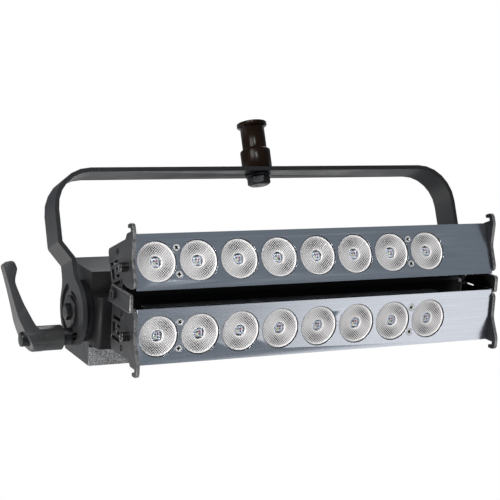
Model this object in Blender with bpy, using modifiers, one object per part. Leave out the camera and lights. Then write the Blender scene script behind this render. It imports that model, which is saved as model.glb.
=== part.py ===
"""Articulated LED light panel: two rows of eight lenses, the upper one hinged, carried on a
driver box that tilts in a flat-bar yoke under a spigot. Metres, +Z up, the light shines
towards -Y. The origin is the centre of the spigot's top face."""

import math

import bmesh
import bpy

# Fits
SEAT_GAP = 0.0003  # between faces that rest on each other
HOLE_GAP = 0.0003  # round a shaft in its hole

# Spigot and the bolt that holds it to the yoke
SPIGOT_LENGTH = 0.0463
SPIGOT_RADIUS = 0.0143
SPIGOT_WAIST_RADIUS = 0.0115
SPIGOT_LIP = 0.0040
SPIGOT_COLLAR = 0.0187
SPIGOT_SLOPE = 0.0018
SPIGOT_EDGE = 0.0008
SPIGOT_BORE_DEPTH = 0.022
BOLT_RADIUS = 0.006
BOLT_FLATS = 0.019
BOLT_HEAD = 0.0075
BOLT_REACH = 0.018  # into the spigot
BOLT_WASHER_RADIUS = 0.012
BOLT_WASHER = 0.0025

# Yoke, bent from flat bar
BAR_WIDTH = 0.030
BAR_THICKNESS = 0.004
YOKE_OUTER_WIDTH = 0.420
YOKE_BEND_RADIUS = 0.035  # at the middle of the bar's thickness
YOKE_DROP = 0.125  # from the bar's top face down to the tilt axis
YOKE_JOG = 0.0105  # how far each arm steps in above its end disc
JOG_TOP = 0.0588  # above the tilt axis
JOG_BOTTOM = 0.0435
DISC_RADIUS = 0.030
DISC_FLARE_RADIUS = 0.020
FRICTION_RADIUS = 0.027

# Clamping slot and the two short slots in each end disc; angles run from straight down
# towards the back
STUD_CIRCLE = 0.0225
SLOT_FROM = math.radians(-14)
SLOT_TO = math.radians(172)
SHORT_SLOT_CIRCLE = 0.0168
SHORT_SLOT_WIDTH = 0.0030
SHORT_SLOTS = ((math.radians(-160), math.radians(-119)), (math.radians(-61), math.radians(-30)))

# Pivot bolts
PIVOT_RADIUS = 0.004
PIVOT_FLATS = 0.013
PIVOT_HEAD = 0.0032
PIVOT_WASHER_RADIUS = 0.014
PIVOT_WASHER = 0.0022
PIVOT_REACH = 0.012  # past the driver box's side

# Rest angles: the head faces down by HEAD_TILT, and the upper row is opened from its closed place
HEAD_TILT = math.radians(23.5)
ROW_OPENING = math.radians(22.4)

# Driver box. In the head's own frame the tilt axis is X, +Z is up and -Y is forwards
BOX_WIDTH = 0.376
BOX_FRONT = 0.016
BOX_BACK = 0.0434
BOX_TOP = 0.0378
BOX_BOTTOM = 0.0458
SHEET = 0.002
CABLE_HOLE_RADIUS = 0.010
STANDOFF_RADIUS = 0.004
STANDOFF_HEIGHT = 0.006
BOARD_THICKNESS = 0.0016
DRIVER_BOARD = (0.300, 0.034)
DRIVER_BOARD_UP = 0.014
DRIVER_PARTS = ((-0.100, 0.016), (-0.050, 0.012), (0.040, 0.020), (0.095, 0.014))  # (x, length)
DRIVER_PART_HEIGHT = 0.012
POWER_SUPPLY = (0.180, 0.046, 0.028)

# Neck between the driver box and the rows
NECK_FRONT = 0.036
NECK_TOP = 0.0195
NECK_BOTTOM = 0.026
NECK_CORNER = 0.005
RAIL_LENGTH = 0.300
RAIL_TOP = 0.012
RAIL_BOTTOM = 0.014

# Sockets on the rear cover
SOCKET_PLATE = (0.026, 0.031)
SOCKET_PLATE_THICKNESS = 0.002
SOCKET_CORNER = 0.003
SOCKET_BARREL = 0.011
SOCKET_DEPTH = 0.020
SOCKET_RECESS = 0.014
SOCKET_WALL = 0.002
SOCKET_UP = 0.002
SOCKET_PLACES = {"power_inlet": -0.120, "data_socket_in": 0.095, "data_socket_out": 0.135}

# A row of lenses. In a row's frame its face plate's front is Y = 0, +Y is back, and Z runs
# along the row's height
ROW_PITCH = 0.0495  # between the two rows' middles when closed
ROW_FORWARD = 0.094
LOWER_ROW_UP = -0.0012
FACE_HEIGHT = 0.04745
FACE_THICKNESS = 0.002
ROW_WIDTH = 0.3612  # over both end plates
END_PLATE = 0.003
LENS_COUNT = 8
LENS_PITCH = 0.03803
FIRST_LENS = -0.1575
LENS_RADIUS = 0.0174
LENS_RECESS = 0.0008
LENS_RIM = 0.0032
LENS_FOOT_RADIUS = 0.008
LENS_FOOT = 0.0011
LENS_DEPTH = 0.0153
LED_PACKAGE = 0.009
LED_HEIGHT = 0.002
LED_SINK = 0.0002

# Heat sink section behind the face plate
SINK_HALF_HEIGHT = 0.020
SINK_WALL = 0.0022
SINK_STRAIGHT = 0.005
SINK_WEB = 0.0035
SINK_INNER_HALF = 0.0122  # the inner side slopes in to this at the web's back
SINK_BACK = 0.044
FIN_THICKNESS = 0.0017
FIN_COUNT = 7

# Face screws, two pairs in each row
SCREW_GAPS = (0, 6)  # each pair stands between this lens and the next
SCREW_UP = 0.0113
SCREW_RADIUS = 0.0015
SCREW_HEAD_RADIUS = 0.0030
SCREW_HEAD = 0.0017
SCREW_LENGTH = 0.014
SCREW_BOSS_RADIUS = 0.0032

# End plates; a knob for the accessory frame stands on each left one
KNOB_RADIUS = 0.0040
KNOB_HEIGHT = 0.0065
KNOB_BACK = 0.0086
# The windows and the knob are laid out about this height of each row
PATTERN_UP = {"lower": -0.0006, "upper": -0.0021}
LONG_WINDOW = (0.0176, 0.0034)
LONG_WINDOW_BACK = 0.0365
LONG_WINDOW_UP = 0.0087
TALL_WINDOW = (0.0065, 0.0092)
TALL_WINDOW_BACK = 0.0415
SHORT_WINDOW = (0.0076, 0.0030)
SHORT_WINDOW_BACK = 0.0310
SHORT_WINDOW_UP = 0.0029
# (forward, away from the other row, corner radius) along the front edge and the accessory hook
HOOK_EDGE = [
    (0.0030, -0.0213, 0.005),
    (0.0030, 0.0020, 0.012),
    (0.0118, 0.0200, 0.010),
    (0.0120, 0.0312, 0.0045),
    (0.0022, 0.0312, 0.0012),
    (0.0022, 0.0280, 0.0012),
    (0.0072, 0.0274, 0.0010),
    (0.0072, 0.0245, 0.0004),
    (-0.0020, 0.0245, 0.0015),
    (-0.0060, 0.0208, 0.0015),
    (-0.0450, 0.0207, 0.0015),
    (-0.0467, 0.0175, 0.0010),
]
PLATE_BACK = 0.0467
# The upper plate's inner edge is cut away in front so that the rows clear each other
UPPER_BACK_CORNER = (-PLATE_BACK, -0.0140, 0.002)
UPPER_EAR_ROOT = -0.0150
UPPER_CUTAWAY = [(-0.0235, -0.0115, 0.002), (-0.0150, -0.0172, 0.004), (-0.0055, -0.0213, 0.004)]
LOWER_FRONT_CORNER = (0.0030, -0.0205, 0.0045)
LOWER_EDGE = 0.0200
TONGUE_TOP = 0.0238
TONGUE_BACK = 0.0270
TONGUE_FRONT = 0.0030
TONGUE_RAMP = 0.002

# Centre hinge
HINGE_FORWARD = 0.0600
HINGE_UP = 0.0285
HINGE_SCREW_RADIUS = 0.0025
HINGE_HEAD_RADIUS = 0.00475
HINGE_HEAD = 0.0028
HINGE_SOCKET_RADIUS = 0.0023
HINGE_SOCKET = 0.0015
BRACKET = 0.003
BRACKET_BACK = 0.044
BRACKET_FRONT = 0.0942
BRACKET_TOP = 0.035
BRACKET_BOTTOM = 0.0195
BRACKET_NOTCH = (0.0055, 0.0095)  # cut from its upper rear corner
EAR_RADIUS = 0.007
EAR_ROUNDING = 0.95 * EAR_RADIUS

# Clamping lever on its stud, left side
STUD_RADIUS = 0.003
STUD_REACH = 0.016  # into the lever
FOOT_RADIUS = 0.0078
FOOT = 0.0085
STEM_RADIUS = 0.005
BUTTON_RADIUS = 0.0062
BUTTON_EDGE = 0.0005
BUTTON_FACE = 0.0454  # from the yoke's face
LEVER_LIFT = 0.004
HUB_RADIUS = 0.011
HUB_END = 0.0340
SHOULDER = 0.0280  # the button's seat inside the hub
# Handle seen from the front: (out from the yoke's face, up from the stud, corner radius)
HANDLE_FRONT = [
    (0.0240, -0.0112, 0.002),
    (0.0352, -0.0112, 0.003),
    (0.0428, 0.0030, 0.030),
    (0.0470, 0.0160, 0.040),
    (0.0512, 0.0430, 0.060),
    (0.0553, 0.0672, 0.003),
    (0.0452, 0.0686, 0.004),
    (0.0430, 0.0610, 0.004),
    (0.0466, 0.0500, 0.012),
    (0.0412, 0.0310, 0.060),
    (0.0330, 0.0095, 0.020),
    (0.0280, 0.0040, 0.002),
]
# Half its width at each height above the stud, from the hub up
HANDLE_SIDE = [(0.0110, 0.0020), (0.0085, 0.0150), (0.0064, 0.0290), (0.0053, 0.0410),
               (0.0047, 0.0560), (0.0047, 0.0720)]

# Smoothness of round shapes
FINE_STEPS = 28
STEPS = 20
SMALL_STEPS = 12
ARC_STEP = math.radians(15)

# Worked out from the above
BAR_TOP = -SPIGOT_LENGTH - SEAT_GAP
TILT_AXIS_UP = BAR_TOP - YOKE_DROP
DISC_OUTER = YOKE_OUTER_WIDTH / 2 - YOKE_JOG
DISC_INNER = DISC_OUTER - BAR_THICKNESS
BOX_SIDE = BOX_WIDTH / 2
PLATE_OUTER = ROW_WIDTH / 2
PLATE_INNER = PLATE_OUTER - END_PLATE
BRACKET_INNER = PLATE_OUTER + SEAT_GAP
BRACKET_OUTER = BRACKET_INNER + BRACKET
SLOT_WIDTH = 2 * (STUD_RADIUS + HOLE_GAP)
BOARD_FRONT = LENS_RECESS + LENS_DEPTH + SEAT_GAP + LED_HEIGHT
WEB_FRONT = BOARD_FRONT + BOARD_THICKNESS + SEAT_GAP

# Rotations that lay a piece's own Z along another axis
ALONG_X = (0.0, math.pi / 2, 0.0)
ALONG_MINUS_X = (0.0, -math.pi / 2, 0.0)
ALONG_Y = (-math.pi / 2, 0.0, 0.0)
ALONG_MINUS_Y = (math.pi / 2, 0.0, 0.0)
OUTLINE_IN_XZ = (math.pi / 2, 0.0, 0.0)
OUTLINE_IN_YZ = (math.pi / 2, 0.0, math.pi / 2)


def clear_scene():
    for obj in list(bpy.data.objects):
        bpy.data.objects.remove(obj, do_unlink=True)


def new_collection(name):
    made = bpy.data.collections.new(name)
    bpy.context.scene.collection.children.link(made)
    return made


def finish(name, colour, roughness, metallic):
    """A Principled material."""
    material = bpy.data.materials.new(name)
    material.use_nodes = True
    shader = material.node_tree.nodes["Principled BSDF"]
    shader.inputs["Base Color"].default_value = (*colour, 1.0)
    shader.inputs["Roughness"].default_value = roughness
    shader.inputs["Metallic"].default_value = metallic
    return material


clear_scene()
PARTS = new_collection("articulated_led_light_panel")
CUTTERS = new_collection("cutters")
POWDER_COAT = finish("dark powder coat", (0.045, 0.045, 0.048), 0.5, 0.0)
BLACK_PLASTIC = finish("black plastic", (0.015, 0.015, 0.016), 0.45, 0.0)
BLACK_STEEL = finish("blackened steel", (0.030, 0.030, 0.032), 0.4, 0.8)
GLOSS_BLACK = finish("gloss black metal", (0.020, 0.015, 0.012), 0.2, 0.5)
BRUSHED = finish("brushed aluminium", (0.30, 0.33, 0.37), 0.35, 1.0)
BLACK_ALUMINIUM = finish("black anodised aluminium", (0.02, 0.02, 0.02), 0.5, 0.5)
LENS_PLASTIC = finish("clear lens plastic", (0.80, 0.80, 0.80), 0.25, 0.0)
BOARD_GREEN = finish("circuit board", (0.03, 0.12, 0.05), 0.5, 0.0)
BRIGHT_STEEL = finish("bright steel", (0.60, 0.60, 0.58), 0.3, 1.0)
GALVANISED = finish("galvanised steel", (0.45, 0.46, 0.47), 0.5, 0.9)


def place(obj, material, parent, location, rotation):
    obj.parent = parent
    obj.location = location
    obj.rotation_euler = rotation
    if material:
        obj.data.materials.append(material)
        PARTS.objects.link(obj)
    else:
        CUTTERS.objects.link(obj)
        obj.hide_render = True
        obj.display_type = "WIRE"
    return obj


def from_bmesh(name, shape):
    mesh = bpy.data.meshes.new(name)
    shape.to_mesh(mesh)
    shape.free()
    return bpy.data.objects.new(name, mesh)


def smooth(obj):
    obj.data.shade_smooth()
    obj.data.set_sharp_from_angle(angle=math.radians(30))


def block(name, size, material=None, parent=None, location=(0, 0, 0), rotation=(0, 0, 0)):
    """A box of this size about its own centre."""
    shape = bmesh.new()
    bmesh.ops.create_cube(shape, size=1.0)
    bmesh.ops.scale(shape, vec=size, verts=shape.verts)
    return place(from_bmesh(name, shape), material, parent, location, rotation)


def rod(name, radius, length, material=None, parent=None, location=(0, 0, 0), rotation=(0, 0, 0),
        steps=STEPS):
    """A cylinder or prism that starts at its location and runs along its own +Z."""
    shape = bmesh.new()
    bmesh.ops.create_cone(shape, cap_ends=True, segments=steps, radius1=radius, radius2=radius,
                          depth=length)
    bmesh.ops.translate(shape, vec=(0, 0, length / 2), verts=shape.verts)
    obj = from_bmesh(name, shape)
    if steps > 6:
        smooth(obj)
    return place(obj, material, parent, location, rotation)


def turned(name, profile, material=None, parent=None, location=(0, 0, 0), rotation=(0, 0, 0),
           steps=STEPS, ring=False):
    """A profile of (radius, height), from the top down its outer side, turned about its Z."""
    shape = bmesh.new()
    points = [shape.verts.new((radius, 0, height)) for radius, height in profile]
    ends = points[1:] + points[:1] if ring else points[1:]
    for first, second in zip(points, ends):
        shape.edges.new((first, second))
    obj = from_bmesh(name, shape)
    screw = obj.modifiers.new("turn", "SCREW")
    screw.axis = "Z"
    screw.steps = steps
    screw.render_steps = steps
    screw.use_merge_vertices = True
    screw.merge_threshold = 0.00001
    screw.use_smooth_shade = False
    return place(obj, material, parent, location, rotation)


def arc(centre, radius, start, end):
    """Points on a circle from one angle to another, both counted from +X towards +Y."""
    count = max(2, math.ceil(abs(end - start) / ARC_STEP))
    angles = [start + (end - start) * i / count for i in range(count + 1)]
    return [(centre[0] + radius * math.cos(a), centre[1] + radius * math.sin(a)) for a in angles]


def rounded(corners):
    """The outline through (x, y, radius) corners, each corner replaced by its tangent arc."""
    outline = []
    for i, (x, y, radius) in enumerate(corners):
        if radius == 0:
            outline.append((x, y))
            continue
        before = corners[i - 1]
        after = corners[(i + 1) % len(corners)]
        to_before = math.atan2(before[1] - y, before[0] - x)
        to_after = math.atan2(after[1] - y, after[0] - x)
        inside = (to_after - to_before + math.pi) % (2 * math.pi) - math.pi
        middle = to_before + inside / 2
        reach = radius / abs(math.sin(inside / 2))
        centre = (x + reach * math.cos(middle), y + reach * math.sin(middle))
        sweep = math.copysign(math.pi - abs(inside), inside)
        start = middle + math.pi + sweep / 2
        outline += arc(centre, radius, start, start - sweep)
    return outline


def circle(radius, centre=(0, 0), steps=STEPS):
    turns = [2 * math.pi * i / steps for i in range(steps)]
    return [(centre[0] + radius * math.cos(t), centre[1] + radius * math.sin(t)) for t in turns]


def rectangle(width, height, centre=(0, 0)):
    x, y = centre
    return [(x - width / 2, y - height / 2), (x + width / 2, y - height / 2),
            (x + width / 2, y + height / 2), (x - width / 2, y + height / 2)]


def plate(name, outline, thickness, holes=(), material=None, parent=None, location=(0, 0, 0),
          rotation=(0, 0, 0)):
    """A flat outline in its own XY, thickened equally to both sides, as a welded mesh."""
    curve = bpy.data.curves.new(name, "CURVE")
    curve.dimensions = "2D"
    curve.fill_mode = "BOTH"
    curve.extrude = thickness / 2
    for points in (outline, *holes):
        spline = curve.splines.new("POLY")
        spline.points.add(len(points) - 1)
        for point, (x, y) in zip(spline.points, points):
            point.co = (x, y, 0, 1)
        spline.use_cyclic_u = True
    drawn = bpy.data.objects.new(name + "_outline", curve)
    PARTS.objects.link(drawn)
    graph = bpy.context.evaluated_depsgraph_get()
    mesh = bpy.data.meshes.new_from_object(drawn.evaluated_get(graph))
    bpy.data.objects.remove(drawn, do_unlink=True)
    shape = bmesh.new()
    shape.from_mesh(mesh)
    bmesh.ops.remove_doubles(shape, verts=shape.verts, dist=0.000001)
    bmesh.ops.recalc_face_normals(shape, faces=shape.faces)
    bpy.data.meshes.remove(mesh)
    return place(from_bmesh(name, shape), material, parent, location, rotation)


def change(obj, operation, *others):
    """A Boolean for each other shape, which is kept as a hidden helper."""
    for other in others:
        modifier = obj.modifiers.new(other.name, "BOOLEAN")
        modifier.operation = operation
        modifier.object = other
    return obj


def cut(obj, *others):
    return change(obj, "DIFFERENCE", *others)


def join(obj, *others):
    return change(obj, "UNION", *others)


def keep_common(obj, *others):
    return change(obj, "INTERSECT", *others)


def axis_empty(name, parent, location, rotation=(0, 0, 0)):
    empty = bpy.data.objects.new(name, None)
    empty.parent = parent
    empty.location = location
    empty.rotation_euler = rotation
    PARTS.objects.link(empty)
    return empty


def hex_radius(across_flats):
    return across_flats / math.sqrt(3)


def spigot():
    """Turned spigot with a waist for the socket's screw, tapped from below."""
    bottom = -SPIGOT_LENGTH
    collar_top = bottom + SPIGOT_COLLAR
    bore = BOLT_RADIUS + HOLE_GAP
    profile = [
        (0, 0),
        (SPIGOT_RADIUS - SPIGOT_EDGE, 0),
        (SPIGOT_RADIUS, -SPIGOT_EDGE),
        (SPIGOT_RADIUS, -SPIGOT_LIP),
        (SPIGOT_WAIST_RADIUS, -SPIGOT_LIP - SPIGOT_SLOPE / 2),
        (SPIGOT_WAIST_RADIUS, collar_top + SPIGOT_SLOPE),
        (SPIGOT_RADIUS, collar_top),
        (SPIGOT_RADIUS, bottom + SPIGOT_EDGE),
        (SPIGOT_RADIUS - SPIGOT_EDGE, bottom),
        (bore, bottom),
        (bore, bottom + SPIGOT_BORE_DEPTH),
        (0, bottom + SPIGOT_BORE_DEPTH),
    ]
    turned("spigot", profile, GLOSS_BLACK, steps=FINE_STEPS)


def spigot_fastening():
    """The bolt that runs up through the yoke's bar, and its washer."""
    washer_top = BAR_TOP - BAR_THICKNESS - SEAT_GAP
    head_top = washer_top - BOLT_WASHER - SEAT_GAP
    bore = BOLT_RADIUS + HOLE_GAP
    ring_profile = [(bore, 0), (BOLT_WASHER_RADIUS, 0), (BOLT_WASHER_RADIUS, -BOLT_WASHER),
                    (bore, -BOLT_WASHER)]
    turned("spigot_washer", ring_profile, BLACK_STEEL, location=(0, 0, washer_top), ring=True)
    shank_length = BOLT_REACH - SPIGOT_LENGTH - head_top + BOLT_HEAD / 2
    bolt = rod("spigot_bolt", hex_radius(BOLT_FLATS), BOLT_HEAD, BLACK_STEEL,
               location=(0, 0, head_top - BOLT_HEAD), steps=6)
    shank = rod("spigot_bolt_shank", BOLT_RADIUS, shank_length,
                location=(0, 0, head_top - BOLT_HEAD / 2))
    join(bolt, shank)


def offset_path(path, distance):
    """The open path moved sideways, each corner kept on its bisector."""
    moved = []
    for i, (x, y, radius) in enumerate(path):
        before = path[max(i - 1, 0)]
        after = path[min(i + 1, len(path) - 1)]
        incoming = math.atan2(y - before[1], x - before[0]) if i else None
        outgoing = math.atan2(after[1] - y, after[0] - x) if i < len(path) - 1 else None
        incoming = outgoing if incoming is None else incoming
        outgoing = incoming if outgoing is None else outgoing
        turn = (outgoing - incoming + math.pi) % (2 * math.pi) - math.pi
        normal = incoming + turn / 2 + math.pi / 2
        reach = distance / math.cos(turn / 2)
        grown = radius - math.copysign(1, turn) * distance if radius else 0
        moved.append((x + reach * math.cos(normal), y + reach * math.sin(normal), grown))
    return moved


def yoke_bar_outline():
    """The bent bar seen from the front, as an outline round its middle line."""
    arm = YOKE_OUTER_WIDTH / 2 - BAR_THICKNESS / 2
    foot = arm - YOKE_JOG
    top = BAR_TOP - BAR_THICKNESS / 2
    jog_top = TILT_AXIS_UP + JOG_TOP
    jog_bottom = TILT_AXIS_UP + JOG_BOTTOM
    end = TILT_AXIS_UP - DISC_RADIUS - BAR_THICKNESS
    left = [(-foot, end, 0), (-foot, jog_bottom, BAR_THICKNESS), (-arm, jog_top, BAR_THICKNESS),
            (-arm, top, YOKE_BEND_RADIUS)]
    right = [(-x, y, radius) for x, y, radius in reversed(left)]
    path = left + right
    outer = offset_path(path, BAR_THICKNESS / 2)
    inner = offset_path(path, -BAR_THICKNESS / 2)
    return rounded(outer + inner[::-1])


def yoke_side_outline():
    """The yoke seen from the side: the bar's width, flared into the end disc."""
    half = BAR_WIDTH / 2
    centre_out = half + DISC_FLARE_RADIUS
    reach = DISC_RADIUS + DISC_FLARE_RADIUS
    rise = math.sqrt(reach ** 2 - centre_out ** 2)
    touch = math.atan2(rise, centre_out)
    right = arc((centre_out, TILT_AXIS_UP + rise), DISC_FLARE_RADIUS, math.pi, math.pi + touch)
    left = [(-x, y) for x, y in right]
    disc = arc((0, TILT_AXIS_UP), DISC_RADIUS, math.pi - touch, 2 * math.pi + touch)
    over = BAR_TOP + BAR_THICKNESS
    return [(half, over), (-half, over)] + left + disc[1:-1] + right[::-1]


def slot_outline(circle_radius, width, start, end):
    """A curved slot about the tilt axis; angles run from straight down towards the back."""
    quarter = math.pi / 2
    first = start - quarter
    last = end - quarter
    half = width / 2
    tip = (circle_radius * math.cos(last), circle_radius * math.sin(last))
    root = (circle_radius * math.cos(first), circle_radius * math.sin(first))
    return (arc((0, 0), circle_radius + half, first, last)
            + arc(tip, half, last, last + math.pi)[1:-1]
            + arc((0, 0), circle_radius - half, last, first)
            + arc(root, half, first + math.pi, first + 2 * math.pi)[1:-1])


def yoke():
    bar = plate("yoke", yoke_bar_outline(), 2 * DISC_RADIUS + BAR_THICKNESS, material=POWDER_COAT,
                rotation=OUTLINE_IN_XZ)
    side = plate("yoke_side_shape", yoke_side_outline(), YOKE_OUTER_WIDTH + BAR_THICKNESS,
                 rotation=OUTLINE_IN_YZ)
    keep_common(bar, side)
    across = 2 * YOKE_OUTER_WIDTH
    slots = [(STUD_CIRCLE, SLOT_WIDTH, SLOT_FROM, SLOT_TO)]
    slots += [(SHORT_SLOT_CIRCLE, SHORT_SLOT_WIDTH, start, end) for start, end in SHORT_SLOTS]
    for number, slot in enumerate(slots):
        cut(bar, plate(f"yoke_slot_{number}", slot_outline(*slot), across,
                       location=(0, 0, TILT_AXIS_UP), rotation=OUTLINE_IN_YZ))
    pivot_hole = rod("yoke_pivot_hole", PIVOT_RADIUS + HOLE_GAP, across,
                     location=(-across / 2, 0, TILT_AXIS_UP), rotation=ALONG_X)
    bolt_hole = rod("yoke_bolt_hole", BOLT_RADIUS + HOLE_GAP, 4 * BAR_THICKNESS,
                    location=(0, 0, BAR_TOP - 2 * BAR_THICKNESS))
    cut(bar, pivot_hole, bolt_hole)


def pivots(head):
    """On each side a friction disc, and a bolt with a big washer outside the yoke."""
    hole = PIVOT_RADIUS + HOLE_GAP
    stud_hole = circle(STUD_RADIUS + HOLE_GAP, (0, -STUD_CIRCLE), SMALL_STEPS)
    thickness = DISC_INNER - BOX_SIDE - 2 * SEAT_GAP
    washer_at = DISC_OUTER + SEAT_GAP
    head_at = washer_at + PIVOT_WASHER + SEAT_GAP
    washer = [(hole, PIVOT_WASHER), (PIVOT_WASHER_RADIUS, PIVOT_WASHER),
              (PIVOT_WASHER_RADIUS, 0), (hole, 0)]
    for side, sign, out in (("left", -1, ALONG_MINUS_X), ("right", 1, ALONG_X)):
        plate(f"friction_disc_{side}", circle(FRICTION_RADIUS, steps=FINE_STEPS), thickness,
              [circle(hole, steps=SMALL_STEPS), stud_hole], BLACK_PLASTIC, head,
              (sign * (BOX_SIDE + SEAT_GAP + thickness / 2), 0, 0), OUTLINE_IN_YZ)
        turned(f"pivot_washer_{side}", washer, BLACK_STEEL, head, (sign * washer_at, 0, 0), out,
               ring=True)
        shank_start = BOX_SIDE - PIVOT_REACH
        bolt = rod(f"pivot_bolt_{side}", hex_radius(PIVOT_FLATS), PIVOT_HEAD, BLACK_STEEL, head,
                   (sign * head_at, 0, 0), out, steps=6)
        shank = rod(f"pivot_bolt_{side}_shank", PIVOT_RADIUS,
                    head_at + PIVOT_HEAD / 2 - shank_start, None, head,
                    (sign * shank_start, 0, 0), out, steps=SMALL_STEPS)
        join(bolt, shank)


def driver_box(head):
    """Folded driver box, open at the back, with standoffs for the driver board."""
    depth = BOX_FRONT + BOX_BACK
    height = BOX_TOP + BOX_BOTTOM
    middle = ((BOX_BACK - BOX_FRONT) / 2, (BOX_TOP - BOX_BOTTOM) / 2)
    shell = block("driver_box", (BOX_WIDTH, depth, height), POWDER_COAT, head, (0, *middle))
    inside = (BOX_WIDTH - 2 * SHEET, depth, height - 2 * SHEET)
    cut(shell, block("driver_box_inside", inside, None, head, (0, middle[0] + SHEET, middle[1])))
    front_wall = -BOX_FRONT + SHEET
    x_out = DRIVER_BOARD[0] / 2 - 2 * STANDOFF_RADIUS
    z_out = DRIVER_BOARD[1] / 2 - 1.5 * STANDOFF_RADIUS
    for number, (x, z) in enumerate(((-1, -1), (1, -1), (-1, 1), (1, 1))):
        join(shell, rod(f"standoff_{number}", STANDOFF_RADIUS, STANDOFF_HEIGHT + SHEET / 2, None,
                        head, (x * x_out, front_wall - SHEET / 2, DRIVER_BOARD_UP + z * z_out),
                        ALONG_Y, SMALL_STEPS))
    pivot_hole = rod("box_pivot_hole", PIVOT_RADIUS + HOLE_GAP, 2 * BOX_WIDTH, None, head,
                     (-BOX_WIDTH, 0, 0), ALONG_X, SMALL_STEPS)
    stud_hole = rod("box_stud_hole", STUD_RADIUS + HOLE_GAP, 4 * SHEET, None, head,
                    (-BOX_SIDE - 2 * SHEET, 0, -STUD_CIRCLE), ALONG_X, SMALL_STEPS)
    cable_hole = rod("box_cable_hole", CABLE_HOLE_RADIUS, 4 * SHEET, None, head,
                     (0, -BOX_FRONT - 2 * SHEET, 0), ALONG_Y)
    cut(shell, pivot_hole, stud_hole, cable_hole)


def electronics(head):
    """The power supply on the box's floor and the driver board on its standoffs."""
    width, depth, height = POWER_SUPPLY
    floor = -BOX_BOTTOM + SHEET + SEAT_GAP
    back = BOX_BACK - SHEET
    block("power_supply", POWER_SUPPLY, GALVANISED, head,
          (0, back - depth / 2 - SHEET, floor + height / 2))
    board_front = -BOX_FRONT + SHEET + STANDOFF_HEIGHT + SEAT_GAP
    board = block("driver_board", (DRIVER_BOARD[0], BOARD_THICKNESS, DRIVER_BOARD[1]), BOARD_GREEN,
                  head, (0, board_front + BOARD_THICKNESS / 2, DRIVER_BOARD_UP))
    tall = DRIVER_PART_HEIGHT
    back_face = board_front + BOARD_THICKNESS
    for number, (x, length) in enumerate(DRIVER_PARTS):
        part = block(f"driver_part_{number}", (length, tall, 0.6 * length), None, head,
                     (x, back_face + tall / 2 - BOARD_THICKNESS / 2, DRIVER_BOARD_UP))
        join(board, part)


def socket(name, head, x):
    """A round panel socket: a flange on the cover and a barrel through it, open outwards."""
    outside = BOX_BACK + 2 * SEAT_GAP + SHEET
    width, height = SOCKET_PLATE
    corner = SOCKET_CORNER
    outline = rounded([(-width / 2, -height / 2, corner), (width / 2, -height / 2, corner),
                       (width / 2, height / 2, corner), (-width / 2, height / 2, corner)])
    flange = plate(name, outline, SOCKET_PLATE_THICKNESS, (), BLACK_PLASTIC, head,
                   (x, outside + SOCKET_PLATE_THICKNESS / 2, SOCKET_UP), OUTLINE_IN_XZ)
    barrel = rod(name + "_barrel", SOCKET_BARREL, SOCKET_DEPTH, None, head,
                 (x, outside + SOCKET_PLATE_THICKNESS / 2 - SOCKET_DEPTH, SOCKET_UP), ALONG_Y)
    recess = rod(name + "_recess", SOCKET_BARREL - SOCKET_WALL, SOCKET_DEPTH, None, head,
                 (x, outside + SOCKET_PLATE_THICKNESS - SOCKET_RECESS, SOCKET_UP), ALONG_Y)
    join(flange, barrel)
    cut(flange, recess)


def rear_cover(head):
    """The cover that closes the driver box, with a hole for each socket."""
    middle = (BOX_TOP - BOX_BOTTOM) / 2
    holes = [circle(SOCKET_BARREL + HOLE_GAP, (x, SOCKET_UP - middle))
             for x in SOCKET_PLACES.values()]
    plate("rear_cover", rectangle(BOX_WIDTH, BOX_TOP + BOX_BOTTOM), SHEET, holes, POWDER_COAT, head,
          (0, BOX_BACK + SEAT_GAP + SHEET / 2, middle), OUTLINE_IN_XZ)
    for name, x in SOCKET_PLACES.items():
        socket(name, head, x)


def neck(head):
    """The rounded hollow neck on the box's front, and the rail between it and the lower row."""
    front = -NECK_FRONT
    back = -BOX_FRONT - SEAT_GAP
    half = BOX_SIDE
    outline = rounded([(-half, back, 0), (-half, front, NECK_CORNER), (half, front, NECK_CORNER),
                       (half, back, 0)])
    shell = plate("neck", outline, NECK_TOP + NECK_BOTTOM, (), POWDER_COAT, head,
                  (0, 0, (NECK_TOP - NECK_BOTTOM) / 2))
    inner_half = half - SHEET
    inner_corner = NECK_CORNER - SHEET
    inner = rounded([(-inner_half, back + SHEET, 0), (-inner_half, front + SHEET, inner_corner),
                     (inner_half, front + SHEET, inner_corner), (inner_half, back + SHEET, 0)])
    cut(shell, plate("neck_inside", inner, NECK_TOP + NECK_BOTTOM - 2 * SHEET, (), None, head,
                     (0, 0, (NECK_TOP - NECK_BOTTOM) / 2)))
    rail_front = front - SEAT_GAP
    rail_back = -(ROW_FORWARD - SINK_BACK) + SEAT_GAP
    rail = [(rail_front, -RAIL_BOTTOM), (rail_front, -RAIL_BOTTOM + SHEET),
            (rail_back + SHEET, -RAIL_BOTTOM + SHEET), (rail_back + SHEET, RAIL_TOP - SHEET),
            (rail_front, RAIL_TOP - SHEET), (rail_front, RAIL_TOP), (rail_back, RAIL_TOP),
            (rail_back, -RAIL_BOTTOM)]
    plate("mounting_rail", rail, RAIL_LENGTH, (), GALVANISED, head, (0, 0, 0), OUTLINE_IN_YZ)


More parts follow.
